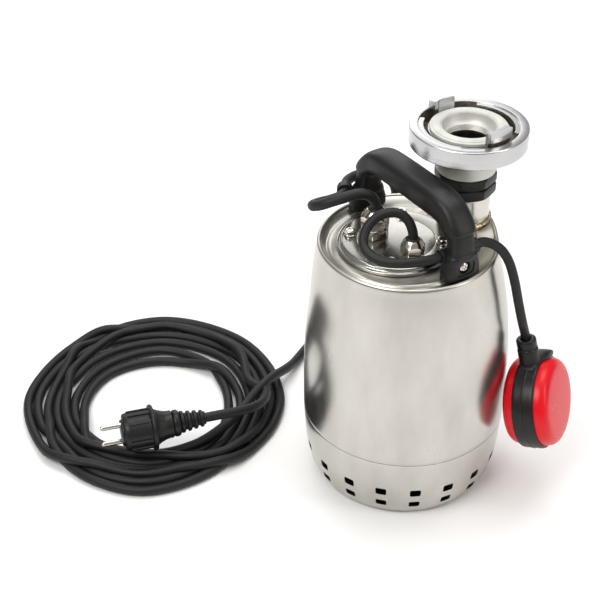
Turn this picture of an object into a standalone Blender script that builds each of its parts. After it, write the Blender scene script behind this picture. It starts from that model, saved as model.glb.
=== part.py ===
"""Submersible sump pump: stainless barrel body, eccentric canned motor, claw hose coupling,
float switch, U handle and mains lead.  Metres, +Z up.  The origin is on the barrel's axis at
the floor, and +Y points to the pump's rear."""
import math

import bmesh
import bpy
from mathutils import Matrix, Vector

# ---------------------------------------------------------------- driving dimensions
GAP = 0.0003                        # clearance between pieces that touch
SHEET = 0.0012                      # stainless sheet of the jacket and the strainer

BODY_R = 0.0896                     # widest radius of the barrel
SEAM_Z = 0.0657                     # joint between strainer and jacket
DECK_Z = 0.2400                     # top of the jacket's flat deck
DECK_T = 0.0014
RIM_R = 0.0745                      # rolled rim at the top of the barrel
RIM_SHIFT = (-0.0030, -0.0020)      # the rim leans away from the discharge

HOLES_ROUND = 18                    # strainer holes in each row
HOLE_AZ = math.radians(-85.1)
HOLE_W = 0.0095
HOLE_H = 0.0075
HOLE_ROWS = (0.0163, 0.0315)

MOTOR = (-0.0135, -0.0085)          # axis of the motor, its cover and the impeller
CAN_R = 0.0435
COVER_FLANGE_R = 0.0495
COVER_R = 0.0450
COVER_Z = 0.2455                    # top of the cover's polished disc
BOLT_CIRCLE = 0.0385
BOLT_AZ = (170.0, 80.0, -10.0, -100.0)
BOLT_R = 0.0025

IMPELLER_R = 0.0385
IMPELLER_Z = 0.0460
VANES = 6
SHAFT_R = 0.0075
STATOR_R = 0.0405
STATOR_BORE = 0.0270
STACK_Z = (0.096, 0.150)
LOWER_BEARING_Z = 0.0728
UPPER_BEARING_Z = 0.1746
BEARING_R = 0.0160
BEARING_W = 0.0090
BALLS = 7

DISCHARGE = (0.0445, 0.0270)        # axis of the socket and the hose coupling
SOCKET_R = 0.0223
SOCKET_BORE = 0.0200
SOCKET_Z = (0.2360, 0.2730)
ADAPTER_TOP = 0.2825                # top of the lower octagonal collar
NECK_TOP = 0.2835
NUT_TOP = 0.2925                    # top of the upper octagonal collar
COLLAR_R = 0.0262                   # octagonal collars, across corners
COLLAR_TURN = math.radians(-102.9)
COUPLING_R = 0.0490
COUPLING_Z = 0.3330                 # top of the coupling's ring
RING_H = 0.0160
LUG_AZ = math.radians(-57.0)
RAIL_LEAD = math.radians(84.5)      # from a lug's middle to the middle of the next rail
RAIL_HALF = math.radians(47.5)
HOOK_LEAD = math.radians(3.0)       # the hook overhangs its lug on one side
BORE_R = 0.0165

FLOAT_GLAND = (-0.0020, -0.0350)
MAINS_GLAND = (-0.0310, -0.0010)
FLOAT_LEAD_R = 0.0040
MAINS_R = 0.0045

HANDLE_AZ = math.radians(-57.0)
FOOT_U = 0.0640                     # distance of each foot from the barrel's axis
BAR_Z = 0.2935                      # centre of the grip bar
LUG_U = 0.0628                      # welded lug inside each foot
SCREW_Z = 0.2500

FLOAT_C = Vector((0.1155, -0.0305, 0.0905))
FLOAT_AXIS = Vector((0.879, -0.406, 0.253)).normalized()
FLOAT_R = 0.0415
FLOAT_HALF = 0.0212
BAND_HALF = 0.0095
CLAMP_IN = Vector((0.0180, -0.0548, 0.2575))
CLAMP_OUT = Vector((0.0490, -0.0380, 0.2590))

COIL_C = Vector((-0.2345, 0.0745, 0.0))
COIL_R = (0.0650, 0.1335)
COIL_OVAL = 0.93                    # the coil is narrower along X
COIL_H = 0.0180
PLUG_FACE = Vector((-0.2553, -0.0161, 0.0402))
PLUG_DIR = Vector((0.959, 0.283, 0.0)).normalized()
PIN_R = 0.0024
PIN_HALF_PITCH = 0.0095

UP = Vector((0.0, 0.0, 1.0))


# ---------------------------------------------------------------- materials
def material(name, colour, roughness, metallic):
    mat = bpy.data.materials.new(name)
    mat.use_nodes = True
    shader = mat.node_tree.nodes["Principled BSDF"]
    shader.inputs["Base Color"].default_value = (*colour, 1.0)
    shader.inputs["Roughness"].default_value = roughness
    shader.inputs["Metallic"].default_value = metallic
    return mat


def make_materials():
    return {
        "brushed": material("brushed_stainless", (0.62, 0.61, 0.58), 0.32, 1.0),
        "polished": material("polished_stainless", (0.72, 0.70, 0.66), 0.10, 1.0),
        "nickel": material("nickel_brass", (0.75, 0.70, 0.62), 0.12, 1.0),
        "aluminium": material("cast_aluminium", (0.78, 0.78, 0.79), 0.30, 1.0),
        "black": material("black_plastic", (0.020, 0.020, 0.022), 0.45, 0.0),
        "cable": material("black_rubber_cable", (0.016, 0.016, 0.016), 0.55, 0.0),
        "red": material("red_float_plastic", (0.70, 0.010, 0.020), 0.30, 0.0),
        "gasket": material("offwhite_gasket", (0.72, 0.74, 0.68), 0.55, 0.0),
        "rubber": material("seal_rubber", (0.030, 0.030, 0.030), 0.70, 0.0),
        "steel": material("bearing_steel", (0.55, 0.55, 0.56), 0.20, 1.0),
        "iron": material("lamination_steel", (0.30, 0.30, 0.31), 0.45, 1.0),
        "copper": material("enamelled_copper", (0.55, 0.22, 0.08), 0.35, 1.0),
        "white": material("white_plastic", (0.75, 0.75, 0.73), 0.40, 0.0),
        "graphite": material("seal_graphite", (0.08, 0.08, 0.08), 0.35, 0.0),
    }


# ---------------------------------------------------------------- modelling helpers
def finish(name, bm, mat, sharp=35.0):
    """Turn a bmesh into one named object with smooth shading and outward faces."""
    bmesh.ops.remove_doubles(bm, verts=bm.verts[:], dist=1e-6)
    bmesh.ops.recalc_face_normals(bm, faces=bm.faces[:])
    mesh = bpy.data.meshes.new(name)
    bm.to_mesh(mesh)
    bm.free()
    obj = bpy.data.objects.new(name, mesh)
    bpy.context.scene.collection.objects.link(obj)
    mesh.materials.append(mat)
    smooth(obj, sharp)
    return obj


def smooth(obj, sharp=35.0):
    obj.data.shade_smooth()
    obj.data.set_sharp_from_angle(angle=math.radians(sharp))


def frame_at(origin, axis):
    """Matrix that puts local +Z along axis at origin."""
    return Matrix.Translation(origin) @ UP.rotation_difference(axis).to_matrix().to_4x4()


def lathe(name, profile, mat, segments=32, centre=(0.0, 0.0), matrix=None, closed=True):
    """Turned solid from a profile of (radius, height); open profiles end on the axis."""
    bm = bmesh.new()
    verts = [bm.verts.new((r, 0.0, z)) for r, z in profile]
    edges = [bm.edges.new(pair) for pair in zip(verts, verts[1:])]
    if closed:
        edges.append(bm.edges.new((verts[-1], verts[0])))
    bmesh.ops.spin(bm, geom=verts + edges, cent=(0, 0, 0), axis=(0, 0, 1),
                   angle=2 * math.pi, steps=segments, use_merge=True)
    bmesh.ops.remove_doubles(bm, verts=bm.verts[:], dist=1e-6)
    if matrix is None:
        matrix = Matrix.Translation((centre[0], centre[1], 0.0))
    bmesh.ops.transform(bm, matrix=matrix, verts=bm.verts[:])
    return finish(name, bm, mat)


def prism(name, outline, z0, z1, mat, centre=(0.0, 0.0), matrix=None):
    """Straight extrusion of an outline of (x, y) points."""
    bm = bmesh.new()
    face = bm.faces.new([bm.verts.new((x, y, z0)) for x, y in outline])
    out = bmesh.ops.extrude_face_region(bm, geom=[face])
    top = [v for v in out["geom"] if isinstance(v, bmesh.types.BMVert)]
    bmesh.ops.translate(bm, vec=(0, 0, z1 - z0), verts=top)
    if matrix is None:
        matrix = Matrix.Translation((centre[0], centre[1], 0.0))
    bmesh.ops.transform(bm, matrix=matrix, verts=bm.verts[:])
    return finish(name, bm, mat)


def polygon(sides, radius, turn=0.0):
    step = 2 * math.pi / sides
    return [(radius * math.cos(turn + i * step), radius * math.sin(turn + i * step))
            for i in range(sides)]


def polar(radius, degrees, centre=(0.0, 0.0)):
    angle = math.radians(degrees)
    return (centre[0] + radius * math.cos(angle), centre[1] + radius * math.sin(angle))


def disc(name, radius, z0, z1, mat, centre=(0.0, 0.0), segments=24, matrix=None):
    return prism(name, polygon(segments, radius), z0, z1, mat, centre, matrix)


def box(name, size, mat, matrix):
    half_x = size[0] / 2
    half_y = size[1] / 2
    outline = [(-half_x, -half_y), (half_x, -half_y), (half_x, half_y), (-half_x, half_y)]
    return prism(name, outline, -size[2] / 2, size[2] / 2, mat, matrix=matrix)


def ring_profile(inner, outer, z0, z1):
    return [(inner, z0), (outer, z0), (outer, z1), (inner, z1)]


def sector(name, r0, r1, z0, z1, middle, half, mat, centre, steps=6):
    """Block bounded by two radii and two azimuths."""
    angles = [middle - half + 2 * half * i / steps for i in range(steps + 1)]
    outer = [(r1 * math.cos(a), r1 * math.sin(a)) for a in angles]
    inner = [(r0 * math.cos(a), r0 * math.sin(a)) for a in reversed(angles)]
    return prism(name, outer + inner, z0, z1, mat, centre)


def combine(target, tools, operation):
    """Boolean the tool objects into the target, one by one, and remove them."""
    for tool in tools:
        mod = target.modifiers.new("bool", "BOOLEAN")
        mod.operation = operation
        mod.object = tool
        graph = bpy.context.evaluated_depsgraph_get()
        mesh = bpy.data.meshes.new_from_object(target.evaluated_get(graph))
        target.modifiers.clear()
        target.data = mesh
        bpy.data.objects.remove(tool)
    smooth(target)
    return target


def join(name, pieces):
    """Keep several closed solids together in one object."""
    bm = bmesh.new()
    for piece in pieces:
        bm.from_mesh(piece.data)
    mat = pieces[0].data.materials[0]
    for piece in pieces:
        bpy.data.objects.remove(piece)
    return finish(name, bm, mat)


def smooth_route(points, spacing):
    """Even points along a Catmull-Rom curve through the route's own points."""
    pts = [Vector(p) for p in points]
    pts = [pts[0] * 2 - pts[1]] + pts + [pts[-1] * 2 - pts[-2]]
    fine = []
    for i in range(1, len(pts) - 2):
        a, b, c, d = pts[i - 1], pts[i], pts[i + 1], pts[i + 2]
        for k in range(12):
            t = k / 12
            fine.append(0.5 * (2 * b + (c - a) * t + (2 * a - 5 * b + 4 * c - d) * t ** 2
                               + (3 * b - a - 3 * c + d) * t ** 3))
    fine.append(pts[-2])
    lengths = [0.0]
    for p, q in zip(fine, fine[1:]):
        lengths.append(lengths[-1] + (q - p).length)
    count = max(2, round(lengths[-1] / spacing))
    even = []
    k = 0
    for i in range(count + 1):
        goal = lengths[-1] * i / count
        while k < len(lengths) - 2 and lengths[k + 1] < goal:
            k += 1
        part = (goal - lengths[k]) / (lengths[k + 1] - lengths[k])
        even.append(fine[k].lerp(fine[k + 1], part))
    return even


def tube(name, points, radius, mat, resolution=2):
    """Round cord: a poly curve with a bevel and filled caps."""
    curve = bpy.data.curves.new(name, "CURVE")
    curve.dimensions = "3D"
    curve.bevel_depth = radius
    curve.bevel_resolution = resolution
    curve.use_fill_caps = True
    spline = curve.splines.new("POLY")
    spline.points.add(len(points) - 1)
    for slot, p in zip(spline.points, points):
        slot.co = (p[0], p[1], p[2], 1.0)
        slot.radius = 1.0
    obj = bpy.data.objects.new(name, curve)
    bpy.context.scene.collection.objects.link(obj)
    curve.materials.append(mat)
    return obj


def blend_step(x, low, high):
    t = min(1.0, max(0.0, (x - low) / (high - low)))
    return t * t * (3 - 2 * t)


# ---------------------------------------------------------------- casing
def barrel_outline():
    """Outer (radius, height) points of the jacket, bottom to top, then the rolled rim."""
    return [(BODY_R - 0.0004, SEAM_Z + GAP), (BODY_R, 0.1000), (0.0889, 0.1370),
            (0.0862, 0.1690), (0.0826, 0.1990), (0.0782, 0.2260), (RIM_R + 0.0020, 0.2385),
            (RIM_R, 0.2408), (RIM_R - 0.0026, DECK_Z - 0.0008)]


def outer_jacket(mats):
    outer = barrel_outline() + [(0.0600, DECK_Z), (0.0390, DECK_Z), (0.0280, DECK_Z)]
    inner = [(0.0280, DECK_Z - DECK_T), (RIM_R - 0.0014, DECK_Z - DECK_T - 0.0010),
             (0.0782 - SHEET, 0.2255), (0.0826 - SHEET, 0.1985), (0.0889 - SHEET, 0.1370),
             (BODY_R - SHEET, 0.1000), (BODY_R - 0.0004 - SHEET, SEAM_Z + GAP)]
    jacket = lathe("outer_jacket", outer + inner, mats["brushed"], segments=34)
    for v in jacket.data.vertices:
        lean = blend_step(v.co.z, 0.17, 0.235)
        v.co.x += RIM_SHIFT[0] * lean
        v.co.y += RIM_SHIFT[1] * lean
        near = 1 - blend_step(math.dist(v.co.xy, DISCHARGE), 0.025, 0.042)
        clear = blend_step(math.dist(v.co.xy, MOTOR), 0.0535, 0.062)
        v.co.z += 0.0055 * near * clear * blend_step(v.co.z, 0.215, 0.2385)
    hole = disc("hole", CAN_R + 0.0004, 0.230, 0.260, mats["brushed"], MOTOR, 32)
    port = disc("port", SOCKET_R + GAP, 0.225, 0.260, mats["brushed"], DISCHARGE, 24)
    combine(jacket, [hole, port], "DIFFERENCE")
    return combine(jacket, [handle_lug(mats, side) for side in (1, -1)], "UNION")


def foot_place(side):
    """Frame of a handle foot's fixing: local +X points outward."""
    out = Vector((math.cos(HANDLE_AZ), math.sin(HANDLE_AZ), 0.0)) * side
    turn = HANDLE_AZ if side > 0 else HANDLE_AZ + math.pi
    return Matrix.Translation(out * LUG_U + UP * SCREW_Z) @ Matrix.Rotation(turn, 4, "Z")


def along_x(depth):
    """Local +Z turned onto the frame's +X, starting depth along it."""
    return Matrix.Translation((depth, 0, 0)) @ Matrix.Rotation(math.pi / 2, 4, "Y")


def handle_lug(mats, side):
    """Welded steel tab that stands inside a handle foot and takes its screw."""
    place = foot_place(side)
    lug = box("lug", (0.0022, 0.0180, 0.0142), mats["brushed"],
              place @ Matrix.Translation((0, 0, -0.0040)))
    hole = disc("hole", 0.0022, -0.01, 0.01, mats["brushed"], segments=8,
                matrix=place @ along_x(0.0))
    return combine(lug, [hole], "DIFFERENCE")


def strainer(mats):
    """Perforated bottom pan with a lip that plugs into the jacket."""
    outer = [(0.0, 0.0), (0.0720, 0.0), (0.0790, 0.0050), (0.0848, 0.0200), (0.0876, 0.0370),
             (BODY_R - 0.0005, SEAM_Z)]
    lip = [(0.0874, SEAM_Z), (0.0874, 0.0700), (0.0864, 0.0700)]
    inner = [(0.0876 - SHEET, 0.0370), (0.0848 - SHEET, 0.0200), (0.0776, 0.0058),
             (0.0715, 0.0015), (0.0, 0.0015)]
    pan = lathe("strainer", outer + lip + inner, mats["brushed"], segments=36, closed=False)
    cutters = []
    for row, z in enumerate(HOLE_ROWS):
        for i in range(HOLES_ROUND):
            angle = HOLE_AZ + 2 * math.pi * i / HOLES_ROUND
            place = (Matrix.Rotation(angle, 4, "Z") @ Matrix.Translation((0.084, 0, z)))
            cutters.append(box("cut", (0.020, HOLE_W, HOLE_H), mats["brushed"], place))
    return combine(pan, [join("cuts", cutters)], "DIFFERENCE")


def pump_housing(mats):
    """Pressed bowl around the impeller, with the suction eye under it."""
    profile = [(0.0, 0.0248), (0.0620, 0.0248), (0.0710, 0.0320), (0.0760, 0.0560),
               (0.0858, 0.0625), (0.0858, 0.0665), (0.0844, 0.0665), (0.0844, 0.0637),
               (0.0746, 0.0570), (0.0696, 0.0330), (0.0615, 0.0262), (0.0, 0.0262)]
    bowl = lathe("pump_housing", profile, mats["brushed"], 24, closed=False)
    eye = disc("eye", 0.0195, 0.020, 0.030, mats["brushed"], MOTOR, 20)
    return combine(bowl, [eye], "DIFFERENCE")


def motor_housing(mats):
    """Can around the motor, with four threaded posts for the cover bolts."""
    wall = CAN_R - 0.0013
    can = lathe("motor_housing", ring_profile(wall, CAN_R, 0.0590, 0.2372),
                mats["brushed"], 24, MOTOR)
    spots = [polar(BOLT_CIRCLE, az, MOTOR) for az in BOLT_AZ]
    posts = [disc("post", 0.0048, 0.2260, 0.2372, mats["brushed"], s, 8) for s in spots]
    combine(can, posts, "UNION")
    holes = [disc("hole", BOLT_R + GAP, 0.2200, 0.2400, mats["brushed"], s, 8) for s in spots]
    return combine(can, holes, "DIFFERENCE")


def motor_cover(mats):
    """Stepped, polished lid; its flange is relieved around the discharge socket."""
    profile = [(0.0, DECK_Z + GAP), (COVER_FLANGE_R, DECK_Z + GAP),
               (COVER_FLANGE_R, 0.2422), (COVER_FLANGE_R - 0.0010, 0.2430),
               (COVER_FLANGE_R - 0.0022, 0.2428), (COVER_R + 0.0010, 0.2440),
               (COVER_R, COVER_Z), (0.0, COVER_Z)]
    lid = lathe("motor_cover", profile, mats["polished"], 32, MOTOR, closed=False)
    cutters = [disc("relief", SOCKET_R + 0.0006, 0.230, 0.260, mats["polished"], DISCHARGE, 20)]
    for spot in (FLOAT_GLAND, MAINS_GLAND):
        cutters.append(disc("hole", 0.0066, 0.230, 0.260, mats["polished"], spot, 10))
    for az in BOLT_AZ:
        spot = polar(BOLT_CIRCLE, az, MOTOR)
        cutters.append(disc("hole", BOLT_R + GAP, 0.230, 0.260, mats["polished"], spot, 8))
    return combine(lid, cutters, "DIFFERENCE")


def cover_seal(mats):
    profile = ring_profile(CAN_R - 0.0013, CAN_R, 0.2372 + GAP, DECK_Z)
    return lathe("cover_seal", profile, mats["rubber"], 24, MOTOR)


def hex_bolt(mats, name, spot, turn):
    """Hexagon head, washer flange and shank as one turned and milled solid."""
    head = prism(name, polygon(6, 0.0046, turn), COVER_Z + 0.0012, COVER_Z + 0.0046,
                 mats["nickel"], spot)
    washer = disc("washer", 0.0052, COVER_Z + GAP, COVER_Z + 0.0013, mats["nickel"], spot, 12)
    shank = disc("shank", BOLT_R, 0.2290, COVER_Z + 0.0010, mats["nickel"], spot, 8)
    return combine(head, [washer, shank], "UNION")


def cover_bolts(mats):
    for number, az in enumerate(BOLT_AZ, 1):
        spot = polar(BOLT_CIRCLE, az, MOTOR)
        hex_bolt(mats, f"cover_bolt_{number}", spot, math.radians(az + 14))


# ---------------------------------------------------------------- motor and pump works
def stator(mats):
    lathe("stator_core", ring_profile(STATOR_BORE, STATOR_R, *STACK_Z), mats["iron"], 20, MOTOR)
    spans = {"lower": (0.0860, STACK_Z[0] - GAP), "upper": (STACK_Z[1] + GAP, 0.1600)}
    for label, (z0, z1) in spans.items():
        profile = [(0.0290, z0 + 0.002), (0.0315, z0), (0.0365, z0), (0.0390, z0 + 0.002),
                   (0.0390, z1), (0.0290, z1)]
        lathe(label + "_winding", profile, mats["copper"], 16, MOTOR)


def capacitor(mats):
    profile = [(0.0, 0.0), (0.0145, 0.0), (0.0145, 0.0580), (0.0100, 0.0600), (0.0, 0.0600)]
    axis = Vector((0.0, 1.0, 0.0))
    start = Vector((MOTOR[0] + 0.002, MOTOR[1] - 0.0300, 0.2080))
    lathe("run_capacitor", profile, mats["white"], 14, matrix=frame_at(start, axis), closed=False)


def bearing_brackets(mats):
    inner = BEARING_R + GAP
    can_bore = CAN_R - 0.0013 - GAP
    lower = [(0.0125, 0.0500), (0.0400, 0.0500), (0.0425, 0.0520), (0.0425, 0.0587),
             (can_bore, 0.0587), (can_bore, 0.0620), (0.0210, 0.0620), (0.0210, 0.0825),
             (inner, 0.0825), (inner, LOWER_BEARING_Z - GAP), (0.0125, LOWER_BEARING_Z - GAP)]
    lathe("lower_bearing_bracket", lower, mats["aluminium"], 24, MOTOR)
    upper = [(0.0094, 0.1722), (can_bore, 0.1722), (can_bore, 0.1760), (0.0205, 0.1760),
             (0.0205, 0.1850), (inner, 0.1850), (inner, UPPER_BEARING_Z - GAP),
             (0.0094, UPPER_BEARING_Z - GAP)]
    lathe("upper_bearing_bracket", upper, mats["aluminium"], 24, MOTOR)


def ball_bearing(mats, label, z):
    """Deep-groove bearing: grooved rings, and a cage with its balls between them."""
    top = z + BEARING_W
    middle = z + BEARING_W / 2
    inner = [(SHAFT_R + GAP, z), (0.0102, z), (0.0096, middle), (0.0102, top),
             (SHAFT_R + GAP, top)]
    lathe(label + "_inner_ring", inner, mats["steel"], 16, MOTOR)
    outer = [(0.0138, z), (BEARING_R, z), (BEARING_R, top), (0.0138, top), (0.0145, middle)]
    lathe(label + "_outer_ring", outer, mats["steel"], 16, MOTOR)
    cage = lathe(label + "_cage", ring_profile(0.0114, 0.0126, middle - 0.0008, middle + 0.0008),
                 mats["steel"], 14, MOTOR)
    bm = bmesh.new()
    for i in range(BALLS):
        spot = polar(0.0120, 360.0 * i / BALLS, MOTOR)
        bmesh.ops.create_uvsphere(bm, u_segments=6, v_segments=4, radius=0.0020,
                                  matrix=Matrix.Translation((*spot, middle)))
    combine(cage, [finish("balls", bm, mats["steel"])], "UNION")


def rotor(mats):
    lathe("rotor_core", ring_profile(SHAFT_R + 0.0012, STATOR_BORE - 0.0005, *STACK_Z),
          mats["iron"], 18, MOTOR)
    high = UPPER_BEARING_Z + BEARING_W + 0.0005
    profile = [(0.0, 0.0215), (0.0042, 0.0215), (0.0050, 0.0225), (0.0050, 0.0470),
               (SHAFT_R, 0.0470), (SHAFT_R, 0.0830), (0.0085, 0.0832), (0.0085, 0.1740),
               (SHAFT_R, 0.1742), (SHAFT_R, high), (0.0, high)]
    lathe("motor_shaft", profile, mats["steel"], 12, MOTOR, closed=False)


def shaft_seal(mats):
    """Mechanical seal: fixed ceramic seat, turning graphite head, and its spring collar."""
    bore = SHAFT_R + GAP
    lathe("shaft_seal_seat", ring_profile(bore, 0.0120, 0.0610, 0.0660), mats["white"],
          14, MOTOR)
    lathe("shaft_seal_head", ring_profile(bore, 0.0112, 0.0545, 0.0607), mats["graphite"],
          14, MOTOR)
    coils = [(bore, 0.0476), (0.0112, 0.0476), (0.0100, 0.0500), (0.0112, 0.0520),
             (0.0104, 0.0542), (bore, 0.0542)]
    lathe("shaft_seal_spring", coils, mats["steel"], 12, MOTOR)


def vane_outline(start):
    """Backward-curved blade, 2 mm thick, from hub to rim."""
    steps = 3
    front = []
    back = []
    for i in range(steps + 1):
        t = i / steps
        radius = 0.0095 + (IMPELLER_R - 0.0100) * t
        angle = start - 1.0 * t ** 0.8
        half = 0.0010 / radius
        front.append((radius * math.cos(angle + half), radius * math.sin(angle + half)))
        back.append((radius * math.cos(angle - half), radius * math.sin(angle - half)))
    return front + back[::-1]


def impeller(mats):
    hub = [(0.0053, 0.0285), (0.0100, 0.0285), (0.0112, 0.0310), (0.0116, 0.0440),
           (IMPELLER_R, 0.0440), (IMPELLER_R, IMPELLER_Z), (0.0053, IMPELLER_Z)]
    wheel = lathe("impeller", hub, mats["brushed"], 20, MOTOR)
    vanes = [prism("vane", vane_outline(2 * math.pi * i / VANES), 0.0305, 0.0445,
                   mats["brushed"], MOTOR) for i in range(VANES)]
    combine(wheel, vanes, "UNION")
    nut = prism("impeller_nut", polygon(6, 0.0085), 0.0225, 0.0282, mats["nickel"], MOTOR)
    hole = disc("hole", 0.0053, 0.020, 0.030, mats["nickel"], MOTOR, 10)
    combine(nut, [hole], "DIFFERENCE")


# ---------------------------------------------------------------- cable glands
def gland(mats, label, spot, across, body_top, nut_top, bore):
    """Hexagon body with a threaded stem, domed hexagon nut and a rubber sealing ring."""
    body = prism(label + "_gland_body", polygon(6, across, math.radians(20)), COVER_Z + GAP,
                 body_top, mats["nickel"], spot)
    stem = disc("stem", 0.0062, 0.2375, COVER_Z + 0.001, mats["nickel"], spot, 10)
    combine(body, [stem], "UNION")
    bore_cut = disc("bore", bore, 0.230, 0.280, mats["nickel"], spot, 10)
    combine(body, [bore_cut], "DIFFERENCE")
    nut = prism(label + "_gland_nut", polygon(6, across, math.radians(8)), body_top + GAP,
                nut_top, mats["nickel"], spot)
    dome = [(0.0, body_top - 0.001), (across + 0.001, body_top - 0.001),
            (across + 0.001, nut_top - 0.0042), (across * 0.75, nut_top + 0.0005),
            (0.0, nut_top + 0.0005)]
    combine(nut, [lathe("dome", dome, mats["nickel"], 12, spot, closed=False)], "INTERSECT")
    bore_cut = disc("bore", bore, 0.230, 0.280, mats["nickel"], spot, 10)
    combine(nut, [bore_cut], "DIFFERENCE")


def cable_glands(mats):
    gland(mats, "float", FLOAT_GLAND, 0.0106, 0.2500, 0.2625, FLOAT_LEAD_R + 0.0005)
    gland(mats, "mains", MAINS_GLAND, 0.0126, 0.2545, 0.2700, MAINS_R + 0.0005)


# ---------------------------------------------------------------- discharge side
def discharge_socket(mats):
    profile = [(SOCKET_BORE, SOCKET_Z[0]), (SOCKET_R, SOCKET_Z[0]), (SOCKET_R, SOCKET_Z[1]),
               (SOCKET_BORE + 0.0008, SOCKET_Z[1]), (SOCKET_BORE, SOCKET_Z[1] - 0.0008)]
    lathe("discharge_socket", profile, mats["brushed"], 24, DISCHARGE)


def check_valve(mats):
    """Lift check valve in the socket: ring seat with a spider, and a guided disc."""
    seat = lathe("check_valve_seat", ring_profile(0.0135, SOCKET_BORE - GAP, 0.2480, 0.2530),
                 mats["black"], 18, DISCHARGE)
    spot = Vector((*DISCHARGE, 0.2500))
    bars = [box("bar", (0.0290, 0.0030, 0.0030), mats["black"],
                Matrix.Translation(spot) @ Matrix.Rotation(turn, 4, "Z"))
            for turn in (0.0, math.pi / 2)]
    hub = disc("hub", 0.0050, 0.2485, 0.2515, mats["black"], DISCHARGE, 10)
    combine(seat, bars + [hub], "UNION")
    combine(seat, [disc("hole", 0.0028, 0.24, 0.26, mats["black"], DISCHARGE, 8)], "DIFFERENCE")
    profile = [(0.0, 0.2440), (0.0024, 0.2440), (0.0024, 0.2533), (0.0160, 0.2533),
               (0.0160, 0.2548), (0.0040, 0.2560), (0.0, 0.2562)]
    lathe("check_valve_disc", profile, mats["rubber"], 16, DISCHARGE, closed=False)


def discharge_adapter(mats):
    """Two octagonal collars: a threaded nipple and the nut that carries the coupling."""
    low = SOCKET_Z[1] + GAP
    nipple = prism("discharge_adapter", polygon(8, COLLAR_R, COLLAR_TURN), low,
                   ADAPTER_TOP, mats["black"], DISCHARGE)
    spigot = disc("spigot", SOCKET_BORE - GAP, 0.2640, low + 0.001, mats["black"], DISCHARGE, 20)
    neck = disc("neck", 0.0235, ADAPTER_TOP - 0.001, NECK_TOP, mats["black"], DISCHARGE, 20)
    combine(nipple, [spigot, neck], "UNION")
    combine(nipple, [disc("bore", BORE_R, 0.25, 0.30, mats["black"], DISCHARGE, 20)],
            "DIFFERENCE")
    nut = prism("adapter_nut", polygon(8, COLLAR_R, COLLAR_TURN), NECK_TOP + GAP, NUT_TOP,
                mats["black"], DISCHARGE)
    spigot = disc("spigot", 0.0200, NUT_TOP - 0.001, 0.3170, mats["black"], DISCHARGE, 20)
    combine(nut, [spigot], "UNION")
    combine(nut, [disc("bore", BORE_R, 0.27, 0.32, mats["black"], DISCHARGE, 20)], "DIFFERENCE")


def hose_coupling(mats):
    """Two-claw hose coupling: outer ring, recessed web, hub with gasket seat, two hooked lugs."""
    top = COUPLING_Z
    low = top - RING_H
    profile = [(0.0204, NUT_TOP + GAP), (0.0250, NUT_TOP + GAP), (0.0260, low),
               (COUPLING_R, low), (COUPLING_R, top), (0.0415, top), (0.0415, low + 0.0040),
               (0.0335, low + 0.0040), (0.0335, 0.3290), (0.0228, 0.3290),
               (0.0228, 0.3185), (0.0204, 0.3185)]
    body = lathe("coupling_body", profile, mats["aluminium"], 32, DISCHARGE)
    extras = []
    for turn in (LUG_AZ, LUG_AZ + math.pi):
        extras.append(sector("rail", 0.0372, 0.0420, top - 0.0045, top - 0.0002,
                             turn + RAIL_LEAD, RAIL_HALF, mats["aluminium"], DISCHARGE, 5))
        extras.append(sector("lug", 0.0325, 0.0385, low + 0.0030, top + 0.0100, turn,
                             math.radians(15), mats["aluminium"], DISCHARGE, 2))
        extras.append(sector("hook", 0.0330, 0.0402, top + 0.0022, top + 0.0098, turn + HOOK_LEAD,
                             math.radians(17.0), mats["aluminium"], DISCHARGE, 2))
    combine(body, extras, "UNION")
    gasket = [(0.0230, 0.3293), (0.0322, 0.3293), (0.0322, 0.3338), (0.0230, 0.3338)]
    lathe("coupling_gasket", gasket, mats["gasket"], 24, DISCHARGE)


# ---------------------------------------------------------------- handle
def handle_stations():
    """Centre (u, z), direction, half thickness and half width, from one foot to the other."""
    side = [(FOOT_U, DECK_Z + 0.0005, 90, 0.0075, 0.0172), (FOOT_U, 0.2480, 90, 0.0075, 0.0168),
            (FOOT_U, 0.2550, 92, 0.0074, 0.0145), (0.0634, 0.2640, 96, 0.0074, 0.0125),
            (0.0618, 0.2740, 105, 0.0080, 0.0120), (0.0575, 0.2835, 125, 0.0092, 0.0122),
            (0.0490, 0.2905, 152, 0.0106, 0.0126), (0.0380, BAR_Z, 172, 0.0116, 0.0130),
            (0.0190, BAR_Z + 0.0006, 178, 0.0118, 0.0132)]
    middle = [(0.0, BAR_Z + 0.0008, 180, 0.0118, 0.0132)]
    other = [(-u, z, 360 - tilt, half, width) for u, z, tilt, half, width in reversed(side)]
    return side + middle + other


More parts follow.
